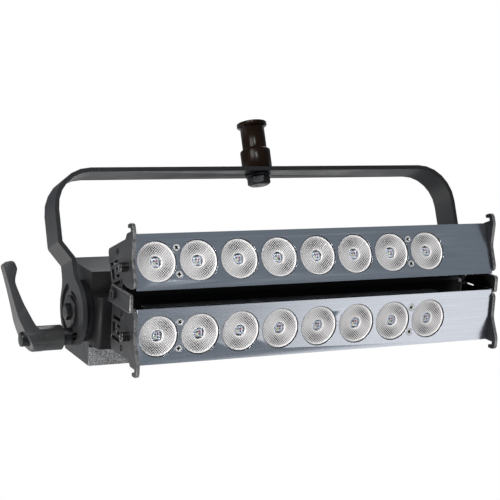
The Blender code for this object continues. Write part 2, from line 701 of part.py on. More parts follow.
def sink_outline(away):
    """The heat sink's section as (back, up). away is +1 where the other row lies below."""
    wall_out = SINK_HALF_HEIGHT
    wall_in = wall_out - SINK_WALL
    front = FACE_THICKNESS + SEAT_GAP
    web_back = WEB_FRONT + SINK_WEB
    slope = (SINK_HALF_HEIGHT - SINK_INNER_HALF) / (web_back - SINK_STRAIGHT)
    inner_at_web = wall_in - slope * (WEB_FRONT - SINK_STRAIGHT)
    points = [(front, wall_in), (front, wall_out)]
    spacing = (SINK_HALF_HEIGHT + SINK_INNER_HALF - FIN_THICKNESS) / (FIN_COUNT - 1)
    for number in range(FIN_COUNT):
        top = wall_out - number * spacing
        points += [(web_back, top), (SINK_BACK, top), (SINK_BACK, top - FIN_THICKNESS),
                   (web_back, top - FIN_THICKNESS)]
    points.remove((web_back, wall_out))
    points += [(SINK_STRAIGHT, -wall_out), (front, -wall_out), (front, -wall_in),
               (SINK_STRAIGHT, -wall_in), (WEB_FRONT, -inner_at_web), (WEB_FRONT, wall_in)]
    return [(back, away * up) for back, up in points]


def screw_places():
    """(x, up) of each face screw in a row."""
    middles = [FIRST_LENS + (gap + 0.5) * LENS_PITCH for gap in SCREW_GAPS]
    return [(x, up) for x in middles for up in (SCREW_UP, -SCREW_UP)]


def lens_places():
    return [FIRST_LENS + number * LENS_PITCH for number in range(LENS_COUNT)]


def heat_sink(row, parent, away):
    length = 2 * (PLATE_INNER - SEAT_GAP)
    sink = plate(f"{row}_heat_sink", sink_outline(away), length, (), BLACK_ALUMINIUM, parent,
                 (0, 0, 0), OUTLINE_IN_YZ)
    front = FACE_THICKNESS + SEAT_GAP
    bore = SCREW_RADIUS + HOLE_GAP
    depth = WEB_FRONT + SINK_WEB / 2 - front
    profile = [(0, -SCREW_LENGTH), (bore, -SCREW_LENGTH), (bore, 0), (SCREW_BOSS_RADIUS, 0),
               (SCREW_BOSS_RADIUS, -depth), (0, -depth)]
    for number, (x, up) in enumerate(screw_places()):
        join(sink, turned(f"{row}_screw_boss_{number}", profile, None, parent, (x, front, up),
                          ALONG_MINUS_Y, SMALL_STEPS))


def led_board(row, parent):
    """The board behind the lenses, between the screw bosses, with one LED package a lens."""
    length = 2 * (PLATE_INNER - 2 * END_PLATE)
    height = 2 * (SCREW_UP - SCREW_BOSS_RADIUS - HOLE_GAP)
    board = block(f"{row}_led_board", (length, BOARD_THICKNESS, height), BOARD_GREEN, parent,
                  (0, BOARD_FRONT + BOARD_THICKNESS / 2, 0))
    for number, x in enumerate(lens_places(), 1):
        join(board, block(f"{row}_led_{number}", (LED_PACKAGE, LED_HEIGHT + LED_SINK, LED_PACKAGE),
                          None, parent, (x, BOARD_FRONT - (LED_HEIGHT - LED_SINK) / 2, 0)))


def face_plate(row, parent):
    """The brushed face plate, with a hole for each lens and each screw."""
    half = PLATE_INNER - SEAT_GAP
    holes = [circle(LENS_RADIUS + HOLE_GAP, (x, 0), FINE_STEPS) for x in lens_places()]
    holes += [circle(SCREW_HEAD_RADIUS + HOLE_GAP, place_at, SMALL_STEPS)
              for place_at in screw_places()]
    plate(f"{row}_face_plate", rectangle(2 * half, FACE_HEIGHT), FACE_THICKNESS, holes, BRUSHED,
          parent, (0, FACE_THICKNESS / 2, 0), OUTLINE_IN_XZ)


def lenses(row, parent):
    """Eight moulded lenses: a round front and a cone that stands over its LED."""
    profile = [(0, 0), (LENS_RADIUS, 0), (LENS_RADIUS, -LENS_RIM),
               (LENS_FOOT_RADIUS, -LENS_DEPTH + LENS_FOOT), (LENS_FOOT_RADIUS, -LENS_DEPTH),
               (0, -LENS_DEPTH)]
    for number, x in enumerate(lens_places(), 1):
        turned(f"{row}_lens_{number}", profile, LENS_PLASTIC, parent, (x, LENS_RECESS, 0),
               ALONG_MINUS_Y)


def face_screws(row, parent):
    """Countersunk screws that hold the face plate to the heat sink's bosses."""
    profile = [(0, 0), (SCREW_HEAD_RADIUS, 0), (SCREW_RADIUS, -SCREW_HEAD),
               (SCREW_RADIUS, -SCREW_LENGTH), (0, -SCREW_LENGTH)]
    for number, (x, up) in enumerate(screw_places(), 1):
        turned(f"{row}_face_screw_{number}", profile, BRIGHT_STEEL, parent, (x, 0, up),
               ALONG_MINUS_Y, SMALL_STEPS)


def upper_plate_corners():
    """The upper row's end plate, with the ear that its hinge screw runs through."""
    ear_back = -(ROW_FORWARD - HINGE_FORWARD) - EAR_RADIUS
    ear_front = ear_back + 2 * EAR_RADIUS
    ear_low = HINGE_UP - (LOWER_ROW_UP + ROW_PITCH) - EAR_RADIUS
    return HOOK_EDGE + [UPPER_BACK_CORNER, (ear_back, UPPER_EAR_ROOT, 0),
                        (ear_back, ear_low, EAR_ROUNDING),
                        (ear_front, ear_low, EAR_ROUNDING)] + UPPER_CUTAWAY


def lower_plate_corners():
    """The lower row's end plate, with a tongue that reaches up behind the hinge bracket."""
    return [LOWER_FRONT_CORNER] + HOOK_EDGE[1:] + [
        (-PLATE_BACK, -LOWER_EDGE, 0.001),
        (-TONGUE_BACK - TONGUE_RAMP, -LOWER_EDGE, 0.001),
        (-TONGUE_BACK, -TONGUE_TOP, 0.001),
        (-TONGUE_FRONT, -TONGUE_TOP, 0.001),
        (-TONGUE_FRONT + TONGUE_RAMP / 2, LOWER_FRONT_CORNER[1], 0),
    ]


def end_plates(row, parent, away, corners):
    """Both end plates of a row, pierced at the back; the left one has a knob."""
    outline = rounded([(-forward, away * up, radius) for forward, up, radius in corners])
    middle = PATTERN_UP[row]
    windows = [rectangle(*LONG_WINDOW, (LONG_WINDOW_BACK, middle + up))
               for up in (-LONG_WINDOW_UP, LONG_WINDOW_UP)]
    windows.append(rectangle(*TALL_WINDOW, (TALL_WINDOW_BACK, middle)))
    windows += [rectangle(*SHORT_WINDOW, (SHORT_WINDOW_BACK, middle + up))
                for up in (-SHORT_WINDOW_UP, SHORT_WINDOW_UP)]
    if row == "upper":
        ear = (ROW_FORWARD - HINGE_FORWARD, HINGE_UP - LOWER_ROW_UP - ROW_PITCH)
        windows.append(circle(HINGE_SCREW_RADIUS + HOLE_GAP, ear, SMALL_STEPS))
    plate_middle = PLATE_INNER + END_PLATE / 2
    plate(f"{row}_end_plate_right", outline, END_PLATE, windows, POWDER_COAT, parent,
          (plate_middle, 0, 0), OUTLINE_IN_YZ)
    left = plate(f"{row}_end_plate_left", outline, END_PLATE, windows, POWDER_COAT, parent,
                 (-plate_middle, 0, 0), OUTLINE_IN_YZ)
    join(left, rod(f"{row}_knob", KNOB_RADIUS, KNOB_HEIGHT + END_PLATE / 2, None, parent,
                   (-plate_middle, KNOB_BACK, middle), ALONG_MINUS_X, SMALL_STEPS))


def row_of_lenses(row, parent, away, corners):
    heat_sink(row, parent, away)
    led_board(row, parent)
    face_plate(row, parent)
    lenses(row, parent)
    face_screws(row, parent)
    end_plates(row, parent, away, corners)


def hinge_brackets(head):
    """Brackets outside the lower row's end plates, and the screws that the upper row turns on."""
    notch_back, notch_up = BRACKET_NOTCH
    outline = rounded([
        (-BRACKET_BACK, BRACKET_BOTTOM, 0.001),
        (-BRACKET_FRONT, BRACKET_BOTTOM, 0.002),
        (-BRACKET_FRONT, BRACKET_TOP, 0.003),
        (-BRACKET_BACK - notch_back, BRACKET_TOP, 0.004),
        (-BRACKET_BACK - notch_back, BRACKET_BOTTOM + notch_up, 0.002),
    ])
    hole = circle(HINGE_SCREW_RADIUS + HOLE_GAP, (-HINGE_FORWARD, HINGE_UP), SMALL_STEPS)
    head_at = BRACKET_OUTER + SEAT_GAP
    shank = PLATE_INNER - END_PLATE
    profile = [
        (0, head_at + HINGE_HEAD - HINGE_SOCKET),
        (HINGE_SOCKET_RADIUS, head_at + HINGE_HEAD - HINGE_SOCKET),
        (HINGE_SOCKET_RADIUS, head_at + HINGE_HEAD),
        (HINGE_HEAD_RADIUS, head_at + HINGE_HEAD),
        (HINGE_HEAD_RADIUS, head_at),
        (HINGE_SCREW_RADIUS, head_at),
        (HINGE_SCREW_RADIUS, shank),
        (0, shank),
    ]
    for side, sign, out in (("left", -1, ALONG_MINUS_X), ("right", 1, ALONG_X)):
        plate(f"hinge_bracket_{side}", outline, BRACKET, [hole], POWDER_COAT, head,
              (sign * (BRACKET_INNER + BRACKET / 2), 0, 0), OUTLINE_IN_YZ)
        turned(f"hinge_screw_{side}", profile, BLACK_STEEL, head, (0, -HINGE_FORWARD, HINGE_UP),
               out, SMALL_STEPS)


def clamping_lever(lever):
    """Stud, core and handle. In the lever's frame X = 0 is the yoke's outer face, -X is
    outwards and the handle stands up."""
    stud_inner = DISC_OUTER - BOX_SIDE + 2 * SHEET
    stud_outer = FOOT + STUD_REACH
    rod("lever_stud", STUD_RADIUS, stud_inner + stud_outer, BRIGHT_STEEL, lever,
        (stud_inner, 0, 0), ALONG_MINUS_X, SMALL_STEPS)
    foot_at = SEAT_GAP
    hub_at = foot_at + FOOT + SEAT_GAP
    button_at = SHOULDER + LEVER_LIFT + SEAT_GAP
    bore = STUD_RADIUS + HOLE_GAP
    core = [
        (0, BUTTON_FACE),
        (BUTTON_RADIUS - BUTTON_EDGE, BUTTON_FACE),
        (BUTTON_RADIUS, BUTTON_FACE - BUTTON_EDGE),
        (BUTTON_RADIUS, button_at),
        (STEM_RADIUS, button_at),
        (STEM_RADIUS, foot_at + FOOT),
        (FOOT_RADIUS, foot_at + FOOT),
        (FOOT_RADIUS, foot_at),
        (bore, foot_at),
        (bore, stud_outer + SEAT_GAP),
        (0, stud_outer + SEAT_GAP),
    ]
    turned("lever_core", core, BLACK_STEEL, lever, (0, 0, 0), ALONG_MINUS_X)
    front_outline = rounded([(-out, up, radius) for out, up, radius in HANDLE_FRONT])
    side_outline = (arc((0, 0), HUB_RADIUS + SEAT_GAP, math.pi, 2 * math.pi) + HANDLE_SIDE
                    + [(-half, up) for half, up in reversed(HANDLE_SIDE)])
    handle = plate("clamp_lever", front_outline, 3 * HUB_RADIUS, (), BLACK_PLASTIC, lever,
                   (0, 0, 0), OUTLINE_IN_XZ)
    side_shape = plate("clamp_lever_side", side_outline, 4 * DISC_OUTER, (), None, lever,
                       (0, 0, 0), OUTLINE_IN_YZ)
    hub = rod("clamp_lever_hub", HUB_RADIUS, HUB_END - hub_at, None, lever, (-hub_at, 0, 0),
              ALONG_MINUS_X)
    stem_bore = rod("clamp_lever_stem_bore", STEM_RADIUS + HOLE_GAP, 2 * BUTTON_FACE, None, lever,
                    (0, 0, 0), ALONG_MINUS_X)
    button_bore = rod("clamp_lever_button_bore", BUTTON_RADIUS + HOLE_GAP, BUTTON_FACE, None,
                      lever, (-SHOULDER, 0, 0), ALONG_MINUS_X)
    keep_common(handle, side_shape)
    join(handle, hub)
    cut(handle, stem_bore, button_bore)


def build():
    spigot()
    spigot_fastening()
    yoke()
    head = axis_empty("tilt_axis", None, (0, 0, TILT_AXIS_UP), (HEAD_TILT, 0, 0))
    pivots(head)
    driver_box(head)
    electronics(head)
    rear_cover(head)
    neck(head)
    hinge_brackets(head)
    lower = axis_empty("lower_row", head, (0, -ROW_FORWARD, LOWER_ROW_UP))
    row_of_lenses("lower", lower, -1, lower_plate_corners())
    hinge = axis_empty("hinge_axis", head, (0, -HINGE_FORWARD, HINGE_UP), (-ROW_OPENING, 0, 0))
    upper_up = LOWER_ROW_UP + ROW_PITCH - HINGE_UP
    upper = axis_empty("upper_row", hinge, (0, -ROW_FORWARD + HINGE_FORWARD, upper_up))
    row_of_lenses("upper", upper, 1, upper_plate_corners())
    stud_axis = axis_empty("lever_axis", head, (-DISC_OUTER, 0, -STUD_CIRCLE), (-HEAD_TILT, 0, 0))
    clamping_lever(stud_axis)


build()
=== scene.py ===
"""The looks of the articulated LED light panel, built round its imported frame."""

import math

import bmesh
import bpy
import numpy as np
from mathutils import Matrix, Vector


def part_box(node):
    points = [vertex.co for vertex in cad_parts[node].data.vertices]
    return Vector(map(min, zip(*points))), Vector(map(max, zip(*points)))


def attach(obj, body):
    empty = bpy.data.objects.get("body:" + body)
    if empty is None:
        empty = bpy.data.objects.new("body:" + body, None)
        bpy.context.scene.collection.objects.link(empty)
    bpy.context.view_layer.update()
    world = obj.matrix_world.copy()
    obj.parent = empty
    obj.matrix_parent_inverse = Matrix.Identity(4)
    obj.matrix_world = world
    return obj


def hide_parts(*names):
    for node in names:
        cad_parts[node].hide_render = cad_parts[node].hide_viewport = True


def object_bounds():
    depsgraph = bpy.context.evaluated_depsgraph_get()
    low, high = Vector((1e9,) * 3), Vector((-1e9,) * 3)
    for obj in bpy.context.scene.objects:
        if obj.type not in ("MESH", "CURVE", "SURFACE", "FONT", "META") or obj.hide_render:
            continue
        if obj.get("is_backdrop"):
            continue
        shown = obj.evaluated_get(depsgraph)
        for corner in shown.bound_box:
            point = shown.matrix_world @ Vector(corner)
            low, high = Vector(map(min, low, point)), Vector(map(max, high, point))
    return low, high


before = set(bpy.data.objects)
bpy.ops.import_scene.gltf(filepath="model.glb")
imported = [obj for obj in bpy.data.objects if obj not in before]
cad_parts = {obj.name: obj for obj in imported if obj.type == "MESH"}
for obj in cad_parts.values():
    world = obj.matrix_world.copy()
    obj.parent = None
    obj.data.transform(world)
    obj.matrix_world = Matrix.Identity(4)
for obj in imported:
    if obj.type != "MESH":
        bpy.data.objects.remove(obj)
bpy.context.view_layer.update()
scene = bpy.context.scene
scene.view_settings.view_transform = "Standard"

# Camera
# It stands low and to the left of the light and looks up a little. The three directions are
# the picture's right, the picture's up and the way back from the light to the camera.
camera_right = (0.89126, -0.43579, -0.12546)
camera_up = (0.03376, -0.21212, 0.97667)
camera_back = (-0.45223, -0.87470, -0.17434)
camera_place = (-0.59665, -1.11772, -0.34619)
camera_data = bpy.data.cameras.new("camera")
camera_data.sensor_width = 36.0
camera_data.lens = 98.563
camera = bpy.data.objects.new("camera", camera_data)
camera_turn = Matrix((camera_right, camera_up, camera_back)).transposed().to_4x4()
camera.matrix_world = Matrix.Translation(camera_place) @ camera_turn
scene.collection.objects.link(camera)
scene.camera = camera


# Studio
# A pale floor well below the light, a low white backdrop behind it that metal and glass
# mirror too, and a darker room above and on the camera's side, which the face plates mirror.
FLOOR_UP = -0.90
FLOOR_REACH = 2.5
# The floor is mirrored, and sheds light, only from this place backwards
MIRRORED_FROM = -0.35
# What the camera sees of the floor, over the light that falls on it
FLOOR_GLOW = 0.6
ROOM_DARK = (0.27, 0.30, 0.34)


def add(tree, kind, sockets=None, **settings):
    """Adds a shader node to a tree, with its settings, and sets or links its input sockets."""
    made = tree.nodes.new("ShaderNode" + kind)
    for key, value in settings.items():
        setattr(made, key, value)
    for key, value in (sockets or {}).items():
        if isinstance(value, bpy.types.NodeSocket):
            tree.links.new(value, made.inputs[key])
        else:
            made.inputs[key].default_value = value
    return made


world = bpy.data.worlds.new("studio")
world.use_nodes = True
scene.world = world
sky = world.node_tree
sky.nodes.clear()
# The backdrop is where a ray's direction points to the back and low down
way = add(sky, "TexCoord").outputs["Generated"]
apart = add(sky, "SeparateXYZ", {"Vector": way})
behind = add(sky, "MapRange", {"Value": apart.outputs["Y"], "From Min": -0.35, "From Max": 0.1},
             interpolation_type="SMOOTHSTEP")
low_down = add(sky, "MapRange", {"Value": apart.outputs["Z"], "From Min": 0.30, "From Max": -0.05},
               interpolation_type="SMOOTHSTEP")
backdrop = add(sky, "Math", {0: behind.outputs[0], 1: low_down.outputs[0]}, operation="MULTIPLY")
room_light = add(sky, "Background", {"Color": (*ROOM_DARK, 1), "Strength": 0.6})
white = add(sky, "Background", {"Color": (1, 1, 1, 1), "Strength": 1.0})
path = add(sky, "LightPath")
seen = add(sky, "Math", {0: path.outputs["Is Camera Ray"], 1: path.outputs["Is Transmission Ray"]},
           operation="MAXIMUM")
bounced = add(sky, "Math", {0: path.outputs["Is Glossy Ray"], 1: path.outputs["Is Diffuse Ray"]},
              operation="MAXIMUM")
mirrored = add(sky, "Math", {0: bounced.outputs[0], 1: backdrop.outputs[0]},
               operation="MULTIPLY")
shown = add(sky, "Math", {0: seen.outputs[0], 1: mirrored.outputs[0]}, operation="MAXIMUM")
blend = add(sky, "MixShader", {0: shown.outputs[0]})
sky.links.new(room_light.outputs[0], blend.inputs[1])
sky.links.new(white.outputs[0], blend.inputs[2])
ending = add(sky, "OutputWorld")
sky.links.new(blend.outputs[0], ending.inputs["Surface"])

floor_paint = bpy.data.materials.new("floor_paint")
floor_paint.use_nodes = True
tree = floor_paint.node_tree
shader = tree.nodes["Principled BSDF"]
shader.inputs["Base Color"].default_value = (0.86, 0.86, 0.86, 1)
shader.inputs["Roughness"].default_value = 0.9
shader.inputs["Specular IOR Level"].default_value = 0.0
shader.inputs["Emission Color"].default_value = (1, 1, 1, 1)
to_camera = add(tree, "LightPath").outputs["Is Camera Ray"]
glow = add(tree, "Math", {0: to_camera, 1: FLOOR_GLOW}, operation="MULTIPLY")
tree.links.new(glow.outputs[0], shader.inputs["Emission Strength"])
# Seen from underneath the floor is clear, so that it hides nothing
underside = add(tree, "NewGeometry").outputs["Backfacing"]
clear = add(tree, "BsdfTransparent")
one_way = add(tree, "MixShader", {0: underside})
tree.links.new(shader.outputs[0], one_way.inputs[1])
tree.links.new(clear.outputs[0], one_way.inputs[2])
tree.links.new(one_way.outputs[0], tree.nodes["Material Output"].inputs["Surface"])


def floor_piece(name, front, back):
    """A level piece of the floor, from one place to another along Y."""
    mesh = bpy.data.meshes.new(name)
    mesh.from_pydata([(-FLOOR_REACH, front, FLOOR_UP), (FLOOR_REACH, front, FLOOR_UP),
                      (FLOOR_REACH, back, FLOOR_UP), (-FLOOR_REACH, back, FLOOR_UP)],
                     [], [(0, 1, 2, 3)])
    mesh.materials.append(floor_paint)
    made = bpy.data.objects.new(name, mesh)
    scene.collection.objects.link(made)
    made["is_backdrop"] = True
    return made


floor_piece("floor", MIRRORED_FROM, FLOOR_REACH)
# In front the floor is there for the camera only, so that the face plates mirror the dark room
front_floor = floor_piece("front_floor", -FLOOR_REACH, MIRRORED_FROM)
front_floor.visible_glossy = False
front_floor.visible_diffuse = False


def lamp(name, place, aim, size, power, colour=(1, 1, 1)):
    """A square soft lamp at a place, turned to shine at a point."""
    data = bpy.data.lights.new(name, "AREA")
    data.shape = "SQUARE"
    data.size = size
    data.energy = power
    data.color = colour
    made = bpy.data.objects.new(name, data)
    ahead = np.array(aim, float) - np.array(place, float)
    ahead /= np.linalg.norm(ahead)
    right = np.cross(ahead, (0.0, 0.0, 1.0))
    right /= np.linalg.norm(right)
    turn = Matrix((right, np.cross(right, ahead), -ahead)).transposed().to_4x4()
    made.matrix_world = Matrix.Translation(place) @ turn
    made.visible_camera = False
    scene.collection.objects.link(made)


lamp("key_lamp", (-1.3, -1.0, 0.9), (0.0, 0.0, -0.15), 0.8, 17.0)
lamp("front_lamp", (-0.6, -1.6, 0.8), (0.0, 0.0, -0.17), 0.5, 13.0)
lamp("fill_lamp", (0.8, 1.0, 1.2), (0.0, 0.0, -0.15), 0.9, 4.0)
lamp("right_card", (0.77, -0.76, -0.77), (0.05, -0.08, -0.19), 0.66, 1.05, (1.0, 0.96, 0.95))
lamp("left_card", (-0.80, 0.45, -0.62), (-0.15, 0.0, -0.18), 0.7, 2.5)
lamp("low_card", (-0.95, -0.45, -0.72), (-0.15, 0.0, -0.2), 0.4, 8.0)


# Spigot
# A turned steel pin with a waist for the socket's screw, enamelled gloss brown-black. It is
# drawn here on finer steps than its solid, from the same profile.
SPIGOT_LENGTH = 0.0463
SPIGOT_RADIUS = 0.0143
SPIGOT_WAIST = 0.0115
SPIGOT_COLLAR = 0.0187
SPIGOT_BORE = 0.0063
SPIGOT_BORE_DEPTH = 0.022


def pattern_group(name, inputs):
    """A new shader group that puts out a tone and a height. Its inputs are numbers with given
    values, and with it come the node of its inputs and the node of its outputs."""
    tree = bpy.data.node_groups.new(name, "ShaderNodeTree")
    for label, value in inputs.items():
        socket = tree.interface.new_socket(label, in_out="INPUT", socket_type="NodeSocketFloat")
        socket.default_value = value
    for label in ("Tone", "Height"):
        tree.interface.new_socket(label, in_out="OUTPUT", socket_type="NodeSocketFloat")
    return tree, tree.nodes.new("NodeGroupInput"), tree.nodes.new("NodeGroupOutput")


def tone_round_one(tree, contrast, noise):
    """A noise's middle stretch, from 0.3 to 0.7, spread from 1 - contrast to 1 + contrast."""
    lowest = add(tree, "Math", {0: 1.0, 1: contrast}, operation="SUBTRACT")
    highest = add(tree, "Math", {0: 1.0, 1: contrast}, operation="ADD")
    tone = add(tree, "MapRange", {"Value": noise, "From Min": 0.3, "From Max": 0.7,
                                  "To Min": lowest.outputs[0], "To Max": highest.outputs[0]})
    return tone.outputs[0]


# Grain: a fine noise for the height of a surface, and a slow noise for its tone. Size and Patch
# are the sizes of the two in metres.
grain, given, result = pattern_group("grain", {"Size": 0.0006, "Patch": 0.02, "Contrast": 0.1})
where = add(grain, "TexCoord").outputs["Object"]
fineness = add(grain, "Math", {0: 1.0, 1: given.outputs["Size"]}, operation="DIVIDE")
coarseness = add(grain, "Math", {0: 1.0, 1: given.outputs["Patch"]}, operation="DIVIDE")
fine = add(grain, "TexNoise", {"Vector": where, "Scale": fineness.outputs[0], "Detail": 2.0})
slow = add(grain, "TexNoise", {"Vector": where, "Scale": coarseness.outputs[0], "Detail": 3.0})
tone = tone_round_one(grain, given.outputs["Contrast"], slow.outputs[0])
grain.links.new(tone, result.inputs["Tone"])
grain.links.new(fine.outputs[0], result.inputs["Height"])


def patterned(name, group, measures, colour, roughness, depth):
    """A material and its Principled shader. The tone of a pattern group with these measures
    varies its colour and its roughness, and the group's height is its texture, depth high."""
    material = bpy.data.materials.new(name)
    material.use_nodes = True
    tree = material.node_tree
    shader = tree.nodes["Principled BSDF"]
    pattern = tree.nodes.new("ShaderNodeGroup")
    pattern.node_tree = group
    for label, value in measures.items():
        pattern.inputs[label].default_value = value
    tinted = add(tree, "VectorMath", {0: colour, "Scale": pattern.outputs["Tone"]},
                 operation="SCALE")
    tree.links.new(tinted.outputs[0], shader.inputs["Base Color"])
    rough = add(tree, "Math", {0: roughness, 1: pattern.outputs["Tone"]}, operation="MULTIPLY")
    tree.links.new(rough.outputs[0], shader.inputs["Roughness"])
    bump = add(tree, "Bump", {"Height": pattern.outputs["Height"], "Distance": depth,
                              "Strength": 1.0})
    tree.links.new(bump.outputs[0], shader.inputs["Normal"])
    return material, shader


def finish(name, colour, roughness, metallic=0.0, size=0.0006, patch=0.02, contrast=0.1,
           depth=0.00002, coat=0.0, specular=0.5):
    """A painted, moulded or blackened surface with the grain's tone and texture."""
    measures = {"Size": size, "Patch": patch, "Contrast": contrast}
    material, shader = patterned(name, grain, measures, colour, roughness, depth)
    shader.inputs["Metallic"].default_value = metallic
    shader.inputs["Coat Weight"].default_value = coat
    shader.inputs["Specular IOR Level"].default_value = specular
    return material


def wrapped_mesh(name, points, values=None, place=None):
    """A closed mesh from a grid of points, rows by columns, put in its place. Each row is joined
    round to its own start, and the shape is closed by a first and last row that are shrunk to
    one point each, or are the same. Values are named grids, kept as the points' attributes."""
    rows, columns = points.shape[:2]
    index = np.arange(rows * columns).reshape(rows, columns)
    across = np.roll(index, -1, axis=1)
    quads = np.stack((index[:-1], index[1:], across[1:], across[:-1]), axis=-1).reshape(-1, 4)
    mesh = bpy.data.meshes.new(name)
    mesh.from_pydata(points.reshape(-1, 3).tolist(), [], quads.tolist())
    for label, grid in (values or {}).items():
        layer = mesh.attributes.new(label, "FLOAT", "POINT")
        layer.data.foreach_set("value", grid.reshape(-1).astype(np.float32))
    if place is not None:
        mesh.transform(place)
    shape = bmesh.new()
    shape.from_mesh(mesh)
    bmesh.ops.remove_doubles(shape, verts=shape.verts, dist=1e-7)
    bmesh.ops.dissolve_degenerate(shape, edges=shape.edges, dist=1e-7)
    bmesh.ops.recalc_face_normals(shape, faces=shape.faces)
    shape.to_mesh(mesh)
    shape.free()
    return mesh


STEPS_ROUND = 96


def angles_round(steps):
    """The angles of equal steps round a circle."""
    return np.arange(steps) * 2 * np.pi / steps


def ring_round(axis, angle):
    """The direction square to the axis at each angle round it: cos a times one side of the axis
    plus sin a times the other."""
    side = np.cross(axis, (0.0, 1.0, 0.0) if abs(axis[1]) < 0.9 else (1.0, 0.0, 0.0))
    side /= np.linalg.norm(side)
    other = np.cross(axis, side)
    return np.cos(angle)[:, None] * side + np.sin(angle)[:, None] * other


def turned_mesh(name, profile, place=(0, 0, 0), axis=(0, 0, 1), steps=STEPS_ROUND):
    """A turned shape: each point of the profile, (radius, distance along the axis), is swept
    round the axis through place in equal steps."""
    axis = np.array(axis, float)
    ring = ring_round(axis, angles_round(steps))
    profile = np.array(profile, float)
    points = np.array(place) + profile[:, 0, None, None] * ring + profile[:, 1, None, None] * axis
    return wrapped_mesh(name, points)


def put(mesh, body, material, stands_for=(), edge=0.0, sharp=35.0, plate=None):
    """Puts a finished mesh on its body with its material, shaded smooth up to a sharp angle,
    and rounds its sharp edges by the width edge. A plate that stands across X gives the grey of
    its front cut edges, which is wear and a painted highlight, the black of its inner face and of
    its slots' walls, which is painted shade, which way is out, -1 or 1, its row's place, and how
    far back the bright edges go. A face's normal tells the three sorts apart, and its middle,
    measured along the row's own back, the rest."""
    mesh.shade_smooth()
    if not edge:
        mesh.set_sharp_from_angle(angle=math.radians(sharp))
    mesh.materials.append(material)
    made = bpy.data.objects.new(mesh.name, mesh)
    scene.collection.objects.link(made)
    if edge:
        bevel = made.modifiers.new("edges", "BEVEL")
        bevel.width = edge
        bevel.segments = 2
        bevel.limit_method = "ANGLE"
        bevel.angle_limit = math.radians(sharp)
        bevel.harden_normals = True
        mesh.set_sharp_from_angle(angle=math.radians(80))
        if plate:
            bright_edge, inner, way_out, row_place, reach = plate
            # Bevels and front cut edges take the grey of wear and painted highlight, inner faces and
            # slot walls painted shade
            mesh.materials.append(bright_edge)
            mesh.materials.append(inner)
            bevel.material = 1
            normal = np.empty(3 * len(mesh.polygons), np.float32)
            middle = np.empty(3 * len(mesh.polygons), np.float32)
            mesh.polygons.foreach_get("normal", normal)
            mesh.polygons.foreach_get("center", middle)
            outwards = way_out * normal.reshape(-1, 3)[:, 0]
            from_row = middle.reshape(-1, 3) - np.array(row_place.translation)
            in_front = from_row @ np.array(row_place.to_3x3().col[1]) < reach
            slots = np.where(outwards > 0.5, 0, np.where((outwards > -0.5) & in_front, 1, 2))
            mesh.polygons.foreach_set("material_index", slots.astype(np.int32))
    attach(made, body)
    if stands_for:
        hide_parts(*stands_for)


enamel = finish("spigot_enamel", (0.012, 0.006, 0.003), 0.20, size=0.0012, patch=0.012,
                contrast=0.25, depth=0.000004, specular=0.14)
spigot_bottom = -SPIGOT_LENGTH
collar_top = spigot_bottom + SPIGOT_COLLAR
spigot_profile = [
    (0, 0), (0.0120, 0), (SPIGOT_RADIUS - 0.0008, -0.0001), (SPIGOT_RADIUS - 0.0002, -0.0005),
    (SPIGOT_RADIUS, -0.0010), (SPIGOT_RADIUS, -0.0036), (SPIGOT_RADIUS - 0.0004, -0.0041),
    (SPIGOT_WAIST + 0.0004, -0.0047), (SPIGOT_WAIST, -0.0053),
    (SPIGOT_WAIST, collar_top + 0.0022), (SPIGOT_WAIST + 0.0003, collar_top + 0.0016),
    (SPIGOT_RADIUS - 0.0004, collar_top + 0.0002), (SPIGOT_RADIUS, collar_top - 0.0004),
    (SPIGOT_RADIUS, spigot_bottom + 0.0010), (SPIGOT_RADIUS - 0.0003, spigot_bottom + 0.0003),
    (SPIGOT_RADIUS - 0.0010, spigot_bottom), (SPIGOT_BORE, spigot_bottom),
    (SPIGOT_BORE, spigot_bottom + SPIGOT_BORE_DEPTH), (0, spigot_bottom + SPIGOT_BORE_DEPTH),
]
put(turned_mesh("enamelled_spigot", spigot_profile), "spigot", enamel,
    ("spigot",), sharp=50)


# Spigot bolt and washer
# A blackened M12 hex bolt runs up through the yoke's bar into the spigot. Its head is
# chamfered where a lathe has faced it, and a thick washer spreads its load.
def hex_head_mesh(name, flats, height, shank, length, place, axis, turn=0.0):
    """A hex head with a shank. Round the axis the head's radius is half the flats over the
    cosine of the angle from the nearest flat, and a 30 degree chamfer trims its corners from
    0.94 of the flats outwards. The head stands on its seat at 0, and the shank goes below."""
    axis = np.array(axis, float)
    angle = angles_round(STEPS_ROUND)
    ring = ring_round(axis, angle + turn)
    from_flat = (angle + np.pi / 6) % (np.pi / 3) - np.pi / 6
    reach = flats / 2 / np.cos(from_flat)
    face = 0.94 * flats / 2
    trimmed = height - (reach - face) * math.tan(math.radians(30))
    zero = np.zeros(STEPS_ROUND)
    rows = [(zero, zero + height), (zero + 0.6 * face, zero + height), (zero + face, zero + height),
            (reach, trimmed), (reach, zero), (zero + shank, zero), (zero + shank, zero - length),
            (zero, zero - length)]
    points = [np.array(place) + r[:, None] * ring + h[:, None] * axis for r, h in rows]
    return wrapped_mesh(name, np.array(points))


blackening = finish("blackened_steel", (0.014, 0.014, 0.015), 0.33, metallic=0.3, size=0.0004,
                    patch=0.006, contrast=0.25, depth=0.00001)
SPIGOT_WASHER_UP = -0.0509
SPIGOT_BOLT_UP = -0.0537
put(hex_head_mesh("blackened_spigot_bolt", flats=0.019, height=0.0075, shank=0.006,
                  length=0.0254, place=(0, 0, SPIGOT_BOLT_UP), axis=(0, 0, -1)),
    "spigot", blackening, ("spigot_bolt",), edge=0.0004)


def washer_profile(bore, radius, thickness, edge):
    """The section of a washer with rounded outer corners, seat side at 0."""
    corner = [(radius - edge * (1 - math.sin(a)), thickness - edge * (1 - math.cos(a)))
              for a in np.linspace(0, math.pi / 2, 5)]
    foot = [(r, thickness - h) for r, h in reversed(corner)]
    return [(bore, thickness)] + corner + foot + [(bore, 0.0), (bore, thickness)]


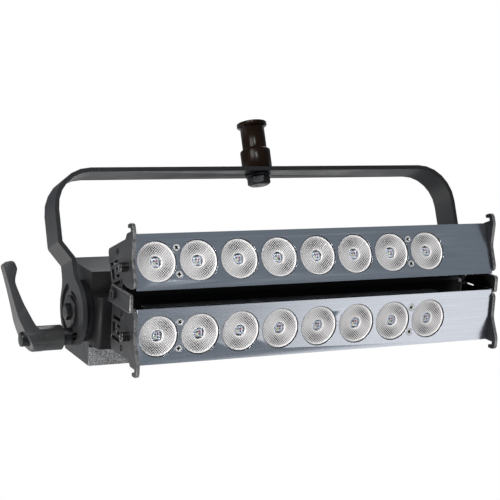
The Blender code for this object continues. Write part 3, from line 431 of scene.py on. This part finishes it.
put(turned_mesh("blackened_spigot_washer",
                washer_profile(bore=0.0063, radius=0.012, thickness=0.0025, edge=0.0005),
                (0, 0, SPIGOT_WASHER_UP), (0, 0, -1)),
    "spigot", blackening, ("spigot_washer",), sharp=50)


# Yoke
# Flat bar bent to a U, stepped in above two end discs, and powder coated a satin dark grey
# with a fine orange-peel texture.
def dressed(name, node_name, body, material, edge, sharp=30.0, plate=None):
    """Stands for a solid with its own mesh: its loose triangles are joined, its flat faces
    made whole, and its edges rounded by the width edge. A plate's materials are as in put."""
    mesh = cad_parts[node_name].data.copy()
    mesh.name = name
    mesh.materials.clear()
    shape = bmesh.new()
    shape.from_mesh(mesh)
    bmesh.ops.remove_doubles(shape, verts=shape.verts, dist=2e-6)
    bmesh.ops.dissolve_limit(shape, angle_limit=math.radians(0.6), verts=shape.verts,
                             edges=shape.edges)
    shape.to_mesh(mesh)
    shape.free()
    put(mesh, body, material, (node_name,), edge, sharp, plate)


powder = finish("satin_powder_coat", (0.021, 0.021, 0.022), 0.40, size=0.0007, patch=0.03,
                contrast=0.12, depth=0.00003, specular=0.40)
dressed("coated_yoke", "yoke", "yoke", powder, 0.0004)


# Pivots
# On each side a black plastic friction disc between the yoke and the driver box, and outside
# the yoke a wide washer under a flat hex bolt, all blackened.
satin_plastic = finish("satin_black_plastic", (0.009, 0.009, 0.010), 0.36, size=0.0005,
                       patch=0.02, contrast=0.12, depth=0.000008, specular=0.22)
SIDES = {"left": -1, "right": 1}
HEAD_TILT = math.radians(23.5)
TILT_AXIS_UP = -0.1716
PIVOT_WASHER_OUT = 0.1998
PIVOT_BOLT_OUT = 0.2023
for side, sign in SIDES.items():
    dressed(f"friction_pad_{side}", f"friction_disc_{side}", "head", satin_plastic,
            0.0003)
    out = (sign, 0, 0)
    put(turned_mesh(f"blackened_pivot_washer_{side}",
                    washer_profile(bore=0.0043, radius=0.014, thickness=0.0022, edge=0.0005),
                    (sign * PIVOT_WASHER_OUT, 0, TILT_AXIS_UP), out),
        "head", blackening, (f"pivot_washer_{side}",), sharp=50)
    put(hex_head_mesh(f"blackened_pivot_bolt_{side}", flats=0.013, height=0.0032, shank=0.004,
                      length=0.0263, place=(sign * PIVOT_BOLT_OUT, 0, TILT_AXIS_UP), axis=out,
                      turn=HEAD_TILT),
        "head", blackening, (f"pivot_bolt_{side}",), edge=0.0003)


# Driver box
# A folded sheet-steel box with a screwed rear cover, and the hollow neck on its front that
# carries the rows. Both are powder coated: the box with a thick wrinkled coat, the neck with a
# finer one, painted darker as painted shade, since it stands in the shade of the rows.
box_powder = finish("wrinkle_powder_coat", (0.020, 0.020, 0.021), 0.38, size=0.0012, patch=0.03,
                    contrast=0.12, depth=0.00025, specular=0.42)
# On the box's front, below the neck, a speckled grey is painted light: the wrinkled coat as it
# looks lit from below. Two dot products with the head's own directions find that band: it
# stands before a place just behind the front's face, and below its own top.
FRONT_LIMIT = -0.0154
PAINTED_LIGHT_TOP = -0.0286
tree = box_powder.node_tree
where = add(tree, "TexCoord").outputs["Object"]
from_axis = add(tree, "VectorMath", {0: where, 1: (0, 0, TILT_AXIS_UP)}, operation="SUBTRACT")
back = add(tree, "VectorMath", {0: from_axis.outputs[0],
                                1: (0, math.cos(HEAD_TILT), math.sin(HEAD_TILT))},
           operation="DOT_PRODUCT").outputs["Value"]
up = add(tree, "VectorMath", {0: from_axis.outputs[0],
                              1: (0, -math.sin(HEAD_TILT), math.cos(HEAD_TILT))},
         operation="DOT_PRODUCT").outputs["Value"]
on_front = add(tree, "Math", {0: back, 1: FRONT_LIMIT}, operation="LESS_THAN")
below = add(tree, "MapRange", {"Value": up, "From Min": PAINTED_LIGHT_TOP, "From Max": PAINTED_LIGHT_TOP - 0.001})
speckle = add(tree, "TexNoise", {"Vector": where, "Scale": 1100.0, "Detail": 2.0})
painted_light_spots = add(tree, "MapRange", {"Value": speckle.outputs[0], "From Min": 0.38, "From Max": 0.66,
                                 "To Min": 0.05, "To Max": 0.45})
painted_light_strip = add(tree, "Math", {0: on_front.outputs[0], 1: below.outputs[0]}, operation="MULTIPLY")
painted_light = add(tree, "Math", {0: painted_light_strip.outputs[0], 1: painted_light_spots.outputs[0]}, operation="MULTIPLY")
# Above that band the front is darkened to near black as painted shade, and made rougher,
# so that it mirrors little
above = add(tree, "Math", {0: 1.0, 1: below.outputs[0]}, operation="SUBTRACT")
matt_and_painted_shade = add(tree, "Math", {0: on_front.outputs[0], 1: above.outputs[0]}, operation="MULTIPLY")
darker = add(tree, "MapRange", {"Value": matt_and_painted_shade.outputs[0], "To Min": 1.0, "To Max": 0.25})
duller = add(tree, "MapRange", {"Value": matt_and_painted_shade.outputs[0], "To Min": 0.0, "To Max": 0.35})
shader = tree.nodes["Principled BSDF"]
plain_rough = shader.inputs["Roughness"].links[0].from_socket
rougher = add(tree, "Math", {0: plain_rough, 1: duller.outputs[0]}, operation="ADD")
tree.links.new(rougher.outputs[0], shader.inputs["Roughness"])
plain = shader.inputs["Base Color"].links[0].from_socket
painted_shade_colour = add(tree, "VectorMath", {0: plain, "Scale": darker.outputs[0]}, operation="SCALE")
# The painted light is added to the colour here
with_painted_light = add(tree, "VectorMath", {0: painted_shade_colour.outputs[0], 1: painted_light.outputs[0]}, operation="ADD")
tree.links.new(with_painted_light.outputs[0], shader.inputs["Base Color"])
dressed("coated_driver_box", "driver_box", "head", box_powder, 0.0006)
dressed("coated_rear_cover", "rear_cover", "head", box_powder, 0.0005)
# The neck's coat is darker than the box's: painted shade, for the shade of the rows over it
neck_powder_painted_shade = finish("neck_powder_coat_painted_shade", (0.009, 0.009, 0.0095), 0.42, size=0.0007, patch=0.03,
                     contrast=0.15, depth=0.00003, specular=0.15)
dressed("coated_neck", "neck", "head", neck_powder_painted_shade, 0.0004)


# Inside the driver box
# The power supply in its zinc-plated case, the driver board on its standoffs, and the rail
# that ties the lower row to the neck. They show only where a cover is off.
zinc = finish("zinc_plate", (0.55, 0.56, 0.57), 0.38, metallic=1.0, size=0.0008, patch=0.008,
              contrast=0.12, depth=0.000006)
solder_mask = finish("solder_mask", (0.02, 0.10, 0.045), 0.35, size=0.0006, patch=0.01,
                     contrast=0.15, depth=0.000006)


def repaint(node_name, material):
    """Gives a solid that keeps its own shape a better material."""
    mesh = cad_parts[node_name].data
    mesh.materials.clear()
    mesh.materials.append(material)


repaint("power_supply", zinc)
repaint("mounting_rail", zinc)
repaint("driver_board", solder_mask)


# Sockets
# One locking mains inlet and two data sockets in the rear cover, each a moulded flange with
# a round recess that holds its contacts.
head_place = Matrix.Translation((0, 0, TILT_AXIS_UP)) @ Matrix.Rotation(HEAD_TILT, 4, "X")
head_back = head_place.to_3x3().col[1]
SOCKETS = {"power_inlet": -0.120, "data_socket_in": 0.095, "data_socket_out": 0.135}
SOCKET_UP = 0.002
PIN_FOOT_BACK = 0.0342
PIN_CIRCLE = 0.0048
# The radius of a socket's pins, and the degrees at which they stand round its middle
MAINS_PINS = (0.0011, (90, 210, 330))
DATA_PINS = (0.0008, (54, 126, 198, 270, 342))
brass = finish("contact_brass", (0.78, 0.57, 0.26), 0.25, metallic=1.0, size=0.0004, patch=0.004,
               contrast=0.1, depth=0.000003)


def joined(name, meshes):
    """One mesh from several, with the several removed."""
    shape = bmesh.new()
    for mesh in meshes:
        shape.from_mesh(mesh)
        bpy.data.meshes.remove(mesh)
    whole = bpy.data.meshes.new(name)
    shape.to_mesh(whole)
    shape.free()
    return whole


for socket_name, across in SOCKETS.items():
    dressed(f"moulded_{socket_name}", socket_name, "head", satin_plastic, 0.0003)
    pin, turns = MAINS_PINS if socket_name == "power_inlet" else DATA_PINS
    profile = [(0, 0.0075), (0.5 * pin, 0.0074), (0.85 * pin, 0.0070), (pin, 0.0063), (pin, 0),
               (0, 0)]
    pins = []
    for number, turn in enumerate(np.radians(turns)):
        foot = head_place @ Matrix.Translation((across + PIN_CIRCLE * math.cos(turn), PIN_FOOT_BACK,
                                                SOCKET_UP + PIN_CIRCLE * math.sin(turn)))
        pins.append(turned_mesh(f"pin_{number}", profile, foot.translation, head_back, 20))
    put(joined(f"{socket_name}_contacts", pins), "head", brass, sharp=50)


# Clamping lever
# A moulded handle on a steel core and stud. The handle is satin black and a little coarser
# than the friction discs.
lever_plastic = finish("lever_plastic", (0.040, 0.040, 0.040), 0.30, size=0.0006, patch=0.02,
                       contrast=0.15, depth=0.00002, specular=0.6)
bright = finish("bright_steel", (0.62, 0.60, 0.57), 0.24, metallic=1.0, size=0.0003, patch=0.003,
                contrast=0.15, depth=0.000004)
dressed("turned_lever_core", "lever_core", "lever_core", blackening, 0.0003)
dressed("moulded_clamp_lever", "clamp_lever", "lever_handle", lever_plastic,
        0.0009)
dressed("plated_lever_stud", "lever_stud", "head", bright, 0.0002)


# Heat sinks
# Each row's back is one extruded section of black anodised aluminium, with fine draw marks
# along its length.
draw_marks, given, result = pattern_group(
    "draw_marks", {"Width": 0.0006, "Length": 0.08, "Contrast": 0.2})
where = add(draw_marks, "TexCoord").outputs["Object"]
thin = add(draw_marks, "Math", {0: 1.0, 1: given.outputs["Width"]}, operation="DIVIDE")
long = add(draw_marks, "Math", {0: 1.0, 1: given.outputs["Length"]}, operation="DIVIDE")
stretch = add(draw_marks, "CombineXYZ", {"X": long.outputs[0], "Y": thin.outputs[0],
                                         "Z": thin.outputs[0]})
spot = add(draw_marks, "VectorMath", {0: where, 1: stretch.outputs[0]}, operation="MULTIPLY")
lines = add(draw_marks, "TexNoise", {"Vector": spot.outputs[0], "Scale": 1.0, "Detail": 3.0,
                                     "Roughness": 0.6})
tone = tone_round_one(draw_marks, given.outputs["Contrast"], lines.outputs[0])
draw_marks.links.new(tone, result.inputs["Tone"])
draw_marks.links.new(lines.outputs[0], result.inputs["Height"])


def brushed(name, colour, roughness, width, length, contrast, depth, anisotropic):
    """Metal with lines along X: the lines change its colour, its roughness and its height."""
    measures = {"Width": width, "Length": length, "Contrast": contrast}
    material, shader = patterned(name, draw_marks, measures, colour, roughness, depth)
    shader.inputs["Metallic"].default_value = 1.0
    shader.inputs["Anisotropic"].default_value = anisotropic
    return material


black_anodised = brushed("black_anodised_aluminium", (0.012, 0.012, 0.013), 0.38, width=0.0007,
                         length=0.12, contrast=0.2, depth=0.000006, anisotropic=0.0)
ROWS = {"lower": "head", "upper": "upper_row"}
for row, body in ROWS.items():
    dressed(f"{row}_extruded_sink", f"{row}_heat_sink", body, black_anodised,
            0.00025)
    repaint(f"{row}_led_board", solder_mask)


# Face plates
# A strip of brushed, blue-grey anodised aluminium closes each row's front, with a hole for
# each lens and bright broken edges.
brushed_plate = brushed("brushed_anodised_aluminium", (0.72, 0.765, 0.82), 0.23, width=0.0005,
                        length=0.05, contrast=0.09, depth=0.000003, anisotropic=0.4)
for row, body in ROWS.items():
    dressed(f"{row}_brushed_plate", f"{row}_face_plate", body, brushed_plate,
            0.00008)


# Lenses
# Sixteen clear mouldings, each with a raised rim, a pebbled field of small square pillows laid
# on the diagonal, and a plain middle that dips to the LED behind it.
ROW_OPENING = math.radians(22.4)
LOWER_IN_HEAD = (0, -0.094, -0.0012)
HINGE_IN_HEAD = (0, -0.060, 0.0285)
UPPER_FROM_HINGE = (0, -0.034, 0.0198)
lower_place = head_place @ Matrix.Translation(LOWER_IN_HEAD)
hinge_place = head_place @ Matrix.Translation(HINGE_IN_HEAD)
upper_place = (hinge_place @ Matrix.Rotation(-ROW_OPENING, 4, "X")
               @ Matrix.Translation(UPPER_FROM_HINGE))
# A row's own axes in its place: across the row, up it and out of its face
face_axes = Matrix(((1, 0, 0), (0, 0, -1), (0, 1, 0))).to_4x4()
face_places = {"lower": lower_place @ face_axes, "upper": upper_place @ face_axes}
FIRST_LENS = -0.1575
LENS_PITCH = 0.03803
LENS_PLACES = [FIRST_LENS + LENS_PITCH * i for i in range(8)]
LENS_RADIUS = 0.0174
LENS_RECESS = 0.0013
LENS_DEPTH = 0.0137
LENS_BACK_RADIUS = 0.008
DISH = 0.0011
PILLOW_PITCH = 0.0016
PILLOW_HEIGHT = 0.00030
WELL = 0.0050
WELL_BACK_RADIUS = 0.0045
# The pillows stand between two rings, and take this far to come up to their full height
FIELD_START = WELL + 0.0004
FIELD_END = LENS_RADIUS - 0.0013
FIELD_FADE = 0.0008
RINGS = 56
SECTORS = 256
# Where each row's lenses are painted dark, as a painted reflection: two sectors, by degrees from
# the row's right, how wide they are in degrees, and how far they take to fade in at the well and
# at the rim
PAINTED_REFLECTION_SECTORS = {"upper": (104.0, -48.0), "lower": (48.0, -104.0)}
SECTOR_WIDTH = 54.0
SECTOR_FADE = 0.004


def lens_surface(row):
    """The lens's shape on a grid of rings and sectors, as (across, up, out), and the grids of
    its pillows and of its painted reflection's dark sectors. Along a ring's radius r the front
    rises from the well's lip to the rim as a shallow dish, and on it the pillows are as high as
    the square root of |sin(pi u / p) sin(pi v / p)|, where u and v are the diagonals and p is
    their pitch. Behind the rim the shape goes round the back, and comes up through the well to
    its first ring."""
    angle = angles_round(SECTORS)
    r = np.linspace(FIELD_START, FIELD_END, RINGS)[:, None]
    x = r * np.cos(angle)
    y = r * np.sin(angle)
    u = (x + y) / math.sqrt(2)
    v = (x - y) / math.sqrt(2)
    pillow = np.sqrt(np.abs(np.sin(np.pi * u / PILLOW_PITCH) * np.sin(np.pi * v / PILLOW_PITCH)))
    pillow *= np.clip((r - FIELD_START) / FIELD_FADE, 0, 1)
    pillow *= np.clip((FIELD_END - r) / FIELD_FADE, 0, 1)
    dish = -LENS_RECESS - DISH * (1 - (r / LENS_RADIUS) ** 2)
    front = np.stack((x, y, dish + PILLOW_HEIGHT * pillow), axis=-1)
    lip = -LENS_RECESS - DISH * (1 - (WELL / LENS_RADIUS) ** 2)
    rim = np.array([
        (LENS_RADIUS - 0.0011, -LENS_RECESS + 0.0002), (LENS_RADIUS - 0.0007, -LENS_RECESS + 0.0004),
        (LENS_RADIUS - 0.0003, -LENS_RECESS + 0.0002), (LENS_RADIUS, -LENS_RECESS - 0.0002),
        (LENS_RADIUS, -LENS_RECESS - 0.0032), (LENS_BACK_RADIUS, -LENS_RECESS - LENS_DEPTH),
        (WELL_BACK_RADIUS, -LENS_RECESS - LENS_DEPTH), (WELL_BACK_RADIUS, lip - 0.0030),
        (WELL, lip - 0.0003), (WELL + 0.0001, lip)])
    edge = np.stack((rim[:, :1] * np.cos(angle), rim[:, :1] * np.sin(angle),
                     rim[:, 1:] + 0 * angle), axis=-1)
    points = np.concatenate((front, edge, front[:1]))
    reflection_sector = np.zeros_like(angle)
    for centre in PAINTED_REFLECTION_SECTORS[row]:
        apart = (np.degrees(angle) - centre + 180) % 360 - 180
        reflection_sector = np.maximum(reflection_sector, np.exp(-(apart / SECTOR_WIDTH) ** 2))
    painted_reflection = reflection_sector * np.clip((r - WELL) / SECTOR_FADE, 0, 1)
    painted_reflection = painted_reflection * np.clip((LENS_RADIUS - 0.0005 - r) / SECTOR_FADE, 0, 1)
    blank = np.zeros((len(rim), SECTORS))
    return points, {"pillow": np.concatenate((pillow, blank, pillow[:1])),
                    "painted_reflection": np.concatenate((painted_reflection, blank, painted_reflection[:1]))}


lens_plastic = bpy.data.materials.new("pebbled_lens")
lens_plastic.use_nodes = True
tree = lens_plastic.node_tree
shader = tree.nodes["Principled BSDF"]
pillow_value = add(tree, "Attribute", attribute_name="pillow").outputs["Fac"]
painted_reflection_value = add(tree, "Attribute", attribute_name="painted_reflection").outputs["Fac"]
# Painted reflection: each pillow's top is a dark dot, darkest in the dark sectors, which are
# also a little darker all over
dot = add(tree, "MapRange", {"Value": pillow_value, "From Min": 0.40, "From Max": 0.60})
darkness = add(tree, "MapRange", {"Value": painted_reflection_value, "To Min": 0.40, "To Max": 1.0})
dark_part = add(tree, "Math", {0: dot.outputs[0], 1: darkness.outputs[0]}, operation="MULTIPLY")
bright_part = add(tree, "Math", {0: 1.0, 1: dark_part.outputs[0]}, operation="SUBTRACT")
reflection_tone = add(tree, "MapRange", {"Value": painted_reflection_value, "To Min": 1.0, "To Max": 0.92})
both = add(tree, "Math", {0: bright_part.outputs[0], 1: reflection_tone.outputs[0]},
           operation="MULTIPLY")
lens_colour = add(tree, "VectorMath", {0: (1.0, 0.965, 0.945), "Scale": both.outputs[0]},
                  operation="SCALE")
tree.links.new(lens_colour.outputs[0], shader.inputs["Base Color"])
shader.inputs["Roughness"].default_value = 0.2
shader.inputs["Metallic"].default_value = 0.1
shader.inputs["Coat Weight"].default_value = 0.5
shader.inputs["Coat Roughness"].default_value = 0.08

glass = bpy.data.materials.new("lens_middle")
glass.use_nodes = True
shader = glass.node_tree.nodes["Principled BSDF"]
shader.inputs["Base Color"].default_value = (0.93, 0.96, 1.0, 1)
shader.inputs["Roughness"].default_value = 0.02
shader.inputs["IOR"].default_value = 1.35
shader.inputs["Transmission Weight"].default_value = 1.0

# A black sleeve round each lens, in the gap to its hole, is painted shade: the shade in that gap
SLEEVE_INNER = LENS_RADIUS + 0.00003
SLEEVE_OUTER = LENS_RADIUS + 0.00025
SLEEVE_FRONT = -0.0001
SLEEVE_BACK = -0.0019
shade_sleeve_profile = [(SLEEVE_INNER, SLEEVE_FRONT), (SLEEVE_OUTER, SLEEVE_FRONT),
                  (SLEEVE_OUTER, SLEEVE_BACK), (SLEEVE_INNER, SLEEVE_BACK),
                  (SLEEVE_INNER, SLEEVE_FRONT)]
for row, body in ROWS.items():
    points, values = lens_surface(row)
    out = face_places[row].to_3x3().col[2]
    for number, x in enumerate(LENS_PLACES, 1):
        place = face_places[row] @ Matrix.Translation((x, 0, 0))
        put(wrapped_mesh(f"{row}_pebbled_lens_{number}", points, values, place), body,
            lens_plastic, (f"{row}_lens_{number}",), sharp=60)
        put(turned_mesh(f"{row}_lens_shade_sleeve_{number}", shade_sleeve_profile, place.translation, out),
            body, satin_plastic, sharp=50)


# LEDs
# Behind each lens's middle sits a white package with four dies: one yellow phosphor, one red
# and two dark ones, under a clear dome.
def box_points(low, high):
    """The eight corners of a box and its six faces, which point outwards."""
    x0, y0, z0 = low
    x1, y1, z1 = high
    corners = [(x0, y0, z0), (x1, y0, z0), (x1, y1, z0), (x0, y1, z0),
               (x0, y0, z1), (x1, y0, z1), (x1, y1, z1), (x0, y1, z1)]
    faces = [(3, 2, 1, 0), (4, 5, 6, 7), (0, 1, 5, 4), (1, 2, 6, 5), (2, 3, 7, 6), (3, 0, 4, 7)]
    return corners, faces


ceramic = finish("led_ceramic", (0.62, 0.66, 0.71), 0.35, size=0.0004, patch=0.003, contrast=0.15,
                 depth=0.000004)
phosphor = finish("phosphor_die", (0.70, 0.56, 0.16), 0.45, size=0.0002, patch=0.001,
                  contrast=0.1, depth=0.000002)
red_die = finish("red_die", (0.45, 0.03, 0.03), 0.3, size=0.0002, patch=0.001, contrast=0.1,
                 depth=0.000002)
dark_die = finish("dark_die", (0.09, 0.10, 0.12), 0.25, size=0.0002, patch=0.001, contrast=0.1,
                  depth=0.000002)
LED_MATERIALS = (ceramic, phosphor, red_die, dark_die)
PACKAGE = 0.0031
PACKAGE_DEPTH = 0.009
PACKAGE_OUT = -0.0044
DIE = 0.0006
DIE_HEIGHT = 0.0005
DIE_SPACE = 0.0011
# Each die's way across and up from the package's middle, and the number of its material
DIES = ((-1, -1, 1), (1, 1, 2), (-1, 1, 3), (1, -1, 3))
led_corners, led_faces = box_points((-PACKAGE, -PACKAGE, PACKAGE_OUT - PACKAGE_DEPTH),
                                    (PACKAGE, PACKAGE, PACKAGE_OUT))
led_slots = [0] * len(led_faces)
for side, up, slot in DIES:
    x = side * DIE_SPACE
    y = up * DIE_SPACE
    corners, faces = box_points((x - DIE, y - DIE, PACKAGE_OUT),
                                (x + DIE, y + DIE, PACKAGE_OUT + DIE_HEIGHT))
    led_faces += [tuple(i + len(led_corners) for i in face) for face in faces]
    led_corners += corners
    led_slots += [slot] * len(faces)

# The dome's section: a quarter of an ellipse over a short foot
DOME_EDGE = -LENS_RECESS - DISH - 0.0009
DOME_HEIGHT = 0.0017
DOME_FOOT = -LENS_RECESS - DISH - 0.0016
dome_profile = [(WELL * math.sin(a), DOME_EDGE + DOME_HEIGHT * math.cos(a))
                for a in np.linspace(0, np.pi / 2, 12)]
dome_profile += [(WELL - 0.0001, DOME_FOOT), (0, DOME_FOOT)]
for row, body in ROWS.items():
    out = face_places[row].to_3x3().col[2]
    for number, x in enumerate(LENS_PLACES, 1):
        place = face_places[row] @ Matrix.Translation((x, 0, 0))
        mesh = bpy.data.meshes.new(f"{row}_led_{number}")
        mesh.from_pydata(led_corners, [], led_faces)
        mesh.transform(place)
        for material in LED_MATERIALS:
            mesh.materials.append(material)
        mesh.polygons.foreach_set("material_index", led_slots)
        made = bpy.data.objects.new(mesh.name, mesh)
        scene.collection.objects.link(made)
        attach(made, body)
        put(turned_mesh(f"{row}_lens_middle_{number}", dome_profile, place.translation, out, 48),
            body, glass, sharp=50)


# Face screws
# Two pairs of bright countersunk screws hold each face plate. They have a cross recess, which
# is painted black inside as painted shade.
SCREW_CELLS = 26


def squeezed(side, radius):
    """A square grid with the same steps both ways, from -1 to 1, squeezed into a circle: across
    is x sqrt(1 - y y / 2) and up is y sqrt(1 - x x / 2), each times the radius."""
    x, y = np.meshgrid(side, side, indexing="ij")
    return radius * x * np.sqrt(1 - y ** 2 / 2), radius * y * np.sqrt(1 - x ** 2 / 2)


def along_arms(across, up):
    """How far a place is along the nearer of a cross's two arms, and how far beside it."""
    return np.maximum(np.abs(across), np.abs(up)), np.minimum(np.abs(across), np.abs(up))


def head_mesh(name, place, radius, reach, width, depth, dome, sink):
    """A screw's head, from its radius, the reach, width and depth of its cross, the height of
    its dome, dome (1 - r r / R R), and how deep it is sunk. The cross is deepest in the middle
    and has a soft edge. The rim goes straight down and one face closes it."""
    across, up = squeezed(np.linspace(-1, 1, SCREW_CELLS + 1), radius)
    along, beside = along_arms(across, up)
    soft = 0.12 * radius
    inside = np.clip((width / 2 - beside) / soft + 0.5, 0, 1)
    inside *= np.clip((reach - along) / soft + 0.5, 0, 1)
    height = dome * (1 - (np.hypot(across, up) / radius) ** 2)
    height -= depth * inside * (1 - 0.4 * along / reach)
    top = np.stack((across, up, height), axis=-1).reshape(-1, 3)
    index = np.arange(across.size).reshape(across.shape)
    quads = np.stack((index[:-1, :-1], index[1:, :-1], index[1:, 1:], index[:-1, 1:]), axis=-1)
    ring = np.concatenate((index[:-1, 0], index[-1, :-1], index[:0:-1, -1], index[0, :0:-1]))
    foot = top[ring].copy()
    foot[:, 2] = -sink
    low = len(top) + np.arange(len(ring))
    walls = np.stack((ring, low, np.roll(low, -1), np.roll(ring, -1)), axis=-1)
    faces = quads.reshape(-1, 4).tolist() + walls.tolist() + [low[::-1].tolist()]
    mesh = bpy.data.meshes.new(name)
    mesh.from_pydata(np.concatenate((top, foot)).tolist(), [], faces)
    mesh.transform(place)
    return mesh


recess_shade = finish("recess_painted_shade", (0.010, 0.010, 0.010), 0.7, size=0.0003, patch=0.002, contrast=0.2,
              depth=0.000004, specular=0.1)
zinc_head = finish("zinc_screw_head", (0.80, 0.79, 0.78), 0.42, metallic=0.45, size=0.0003,
                   patch=0.002, contrast=0.15, depth=0.000004)


def screw(name, body, material, head, place, stands_for=()):
    """A cross-recess screw's head. The faces of its top whose middle stands inside the cross
    are of the dark material, which is painted shade."""
    mesh = head_mesh(name, place, **head)
    put(mesh, body, material, stands_for, sharp=30)
    mesh.materials.append(recess_shade)
    middles = (np.arange(SCREW_CELLS) + 0.5) * 2 / SCREW_CELLS - 1
    along, beside = along_arms(*squeezed(middles, head["radius"]))
    inside = (beside < head["width"] / 2) & (along < head["reach"])
    slots = np.zeros(len(mesh.polygons), np.int32)
    slots[:inside.size] = inside.reshape(-1)
    mesh.polygons.foreach_set("material_index", slots)


PLATE_HEAD = {"radius": 0.0029, "reach": 0.0017, "width": 0.0012, "depth": 0.0014,
              "dome": 0.00012, "sink": 0.0016}
PLATE_SCREW_UP = 0.0113
for row, body in ROWS.items():
    for number in (1, 2, 3, 4):
        low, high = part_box(f"{row}_face_screw_{number}")
        up = PLATE_SCREW_UP if number % 2 else -PLATE_SCREW_UP
        place = face_places[row] @ Matrix.Translation(((low[0] + high[0]) / 2, up, 0))
        place = place @ Matrix.Rotation(math.radians(20 + 31 * number), 4, "Z")
        screw(f"{row}_plate_screw_{number}", body, zinc_head, PLATE_HEAD, place,
              (f"{row}_face_screw_{number}",))

# Six more hold the rear cover, with low heads blackened like the other fixings
COVER_HEAD = {"radius": 0.0030, "reach": 0.0018, "width": 0.0012, "depth": 0.0008,
              "dome": 0.0010, "sink": 0.0002}
COVER_BACK = 0.0457
COVER_SCREWS = [(x, up) for x in (-0.180, 0.0, 0.180) for up in (0.0300, -0.0380)]
back_axes = Matrix(((-1, 0, 0), (0, 0, 1), (0, 1, 0))).to_4x4()
for number, (x, up) in enumerate(COVER_SCREWS, 1):
    place = head_place @ Matrix.Translation((x, COVER_BACK, up)) @ back_axes
    place = place @ Matrix.Rotation(math.radians(37 * number), 4, "Z")
    screw(f"cover_screw_{number}", "head", blackening, COVER_HEAD, place)

# One more, on the neck's front near its right end
NECK_HEAD = {"radius": 0.0016, "reach": 0.0006, "width": 0.0004, "depth": 0.0003,
             "dome": 0.0007, "sink": 0.0002}
NECK_SCREW_PLACE = (0.1827, -0.036, 0.0185)
place = head_place @ Matrix.Translation(NECK_SCREW_PLACE) @ face_axes
screw("neck_screw", "head", zinc_head, NECK_HEAD, place)


# End plates and the screws in them
# Laser-cut steel plates, powder coated like the yoke, hooked at their outer corners to hold an
# accessory frame, each fixed to its heat sink with two low-headed screws.
plate_powder = finish("end_plate_powder_coat", (0.022, 0.022, 0.023), 0.38, size=0.0007,
                      patch=0.02, contrast=0.15, depth=0.00003, specular=0.42)
# The cut edges' grey is wear and a painted highlight; the inner faces and slot walls are painted
# shade
edge_wear_and_highlight = finish("plate_edge_wear_and_highlight", (0.26, 0.255, 0.25), 0.32, metallic=0.6, size=0.0005,
                   patch=0.004, contrast=0.4, depth=0.000006)
inner_painted_shade = finish("plate_inner_painted_shade", (0.010, 0.010, 0.011), 0.55, size=0.0007, patch=0.02,
                     contrast=0.15, depth=0.00002, specular=0.15)
knob_black = finish("knob_black", (0.010, 0.009, 0.008), 0.20, size=0.0004, patch=0.003,
                    contrast=0.3, depth=0.000004, coat=0.3)
BRIGHT_EDGE_REACH = 0.006
END_PLATE_OUT = 0.1806
END_HEAD = {"radius": 0.0036, "reach": 0.0022, "width": 0.0014, "sink": 0.0002}
END_DOME = 0.0007
FLUSH_DOME = 0.00015
# Where each row's end screws are, back and up from the row's place
END_SCREWS = {"lower": ((0.0246, 0.0138), (0.0227, -0.0149)),
              "upper": ((0.0260, 0.0138), (0.0242, -0.0117))}
# A blackened knob stands on each left end plate
KNOB_BACK = 0.0086
KNOB_UP = {"lower": -0.0006, "upper": -0.0021}
knob_profile = [(0, 0.0064), (0.0021, 0.0064), (0.0025, 0.0069), (0.0035, 0.0069),
                (0.0040, 0.0066), (0.0042, 0.0061), (0.0042, 0.0050), (0.00412, 0.0048),
                (0.00412, 0.0001), (0, 0.0001)]
for row, body in ROWS.items():
    place = lower_place if row == "lower" else upper_place
    for side, sign in SIDES.items():
        dressed(f"{row}_coated_end_plate_{side}", f"{row}_end_plate_{side}", body, plate_powder,
                0.0005, plate=(edge_wear_and_highlight, inner_painted_shade, sign, place, BRIGHT_EDGE_REACH))
        outward = Matrix(((0, 0, sign), (sign, 0, 0), (0, 1, 0))).to_4x4()
        for number, (back, up) in enumerate(END_SCREWS[row], 1):
            seat = place @ Matrix.Translation((sign * END_PLATE_OUT, back, up)) @ outward
            # The upper row's second screw stays low, under the hinge bracket's sweep
            dome = FLUSH_DOME if (row, number) == ("upper", 2) else END_DOME
            screw(f"{row}_end_screw_{side}_{number}", body, blackening,
                  {**END_HEAD, "depth": 0.8 * dome, "dome": dome}, seat)
    foot = place @ Matrix.Translation((-END_PLATE_OUT, KNOB_BACK, KNOB_UP[row]))
    put(turned_mesh(f"{row}_knob_cap", knob_profile, foot.translation, (-1, 0, 0)), body,
        knob_black, sharp=50)


# Centre hinge
# A bracket on each side is bolted to the lower row and carries the upper row's ears on one
# button-head screw. Its cut edges are grey all the way back, as wear and a painted highlight,
# and its inner face is painted shade.
BRACKET_REACH = 0.05
for side, sign in SIDES.items():
    dressed(f"coated_hinge_bracket_{side}", f"hinge_bracket_{side}", "head", plate_powder,
            0.0008,
            plate=(edge_wear_and_highlight, inner_painted_shade, sign, lower_place, BRACKET_REACH))
    dressed(f"blackened_hinge_screw_{side}", f"hinge_screw_{side}", "head", blackening,
            0.0004)


# Sizes
# The finished object's box.
low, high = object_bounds()
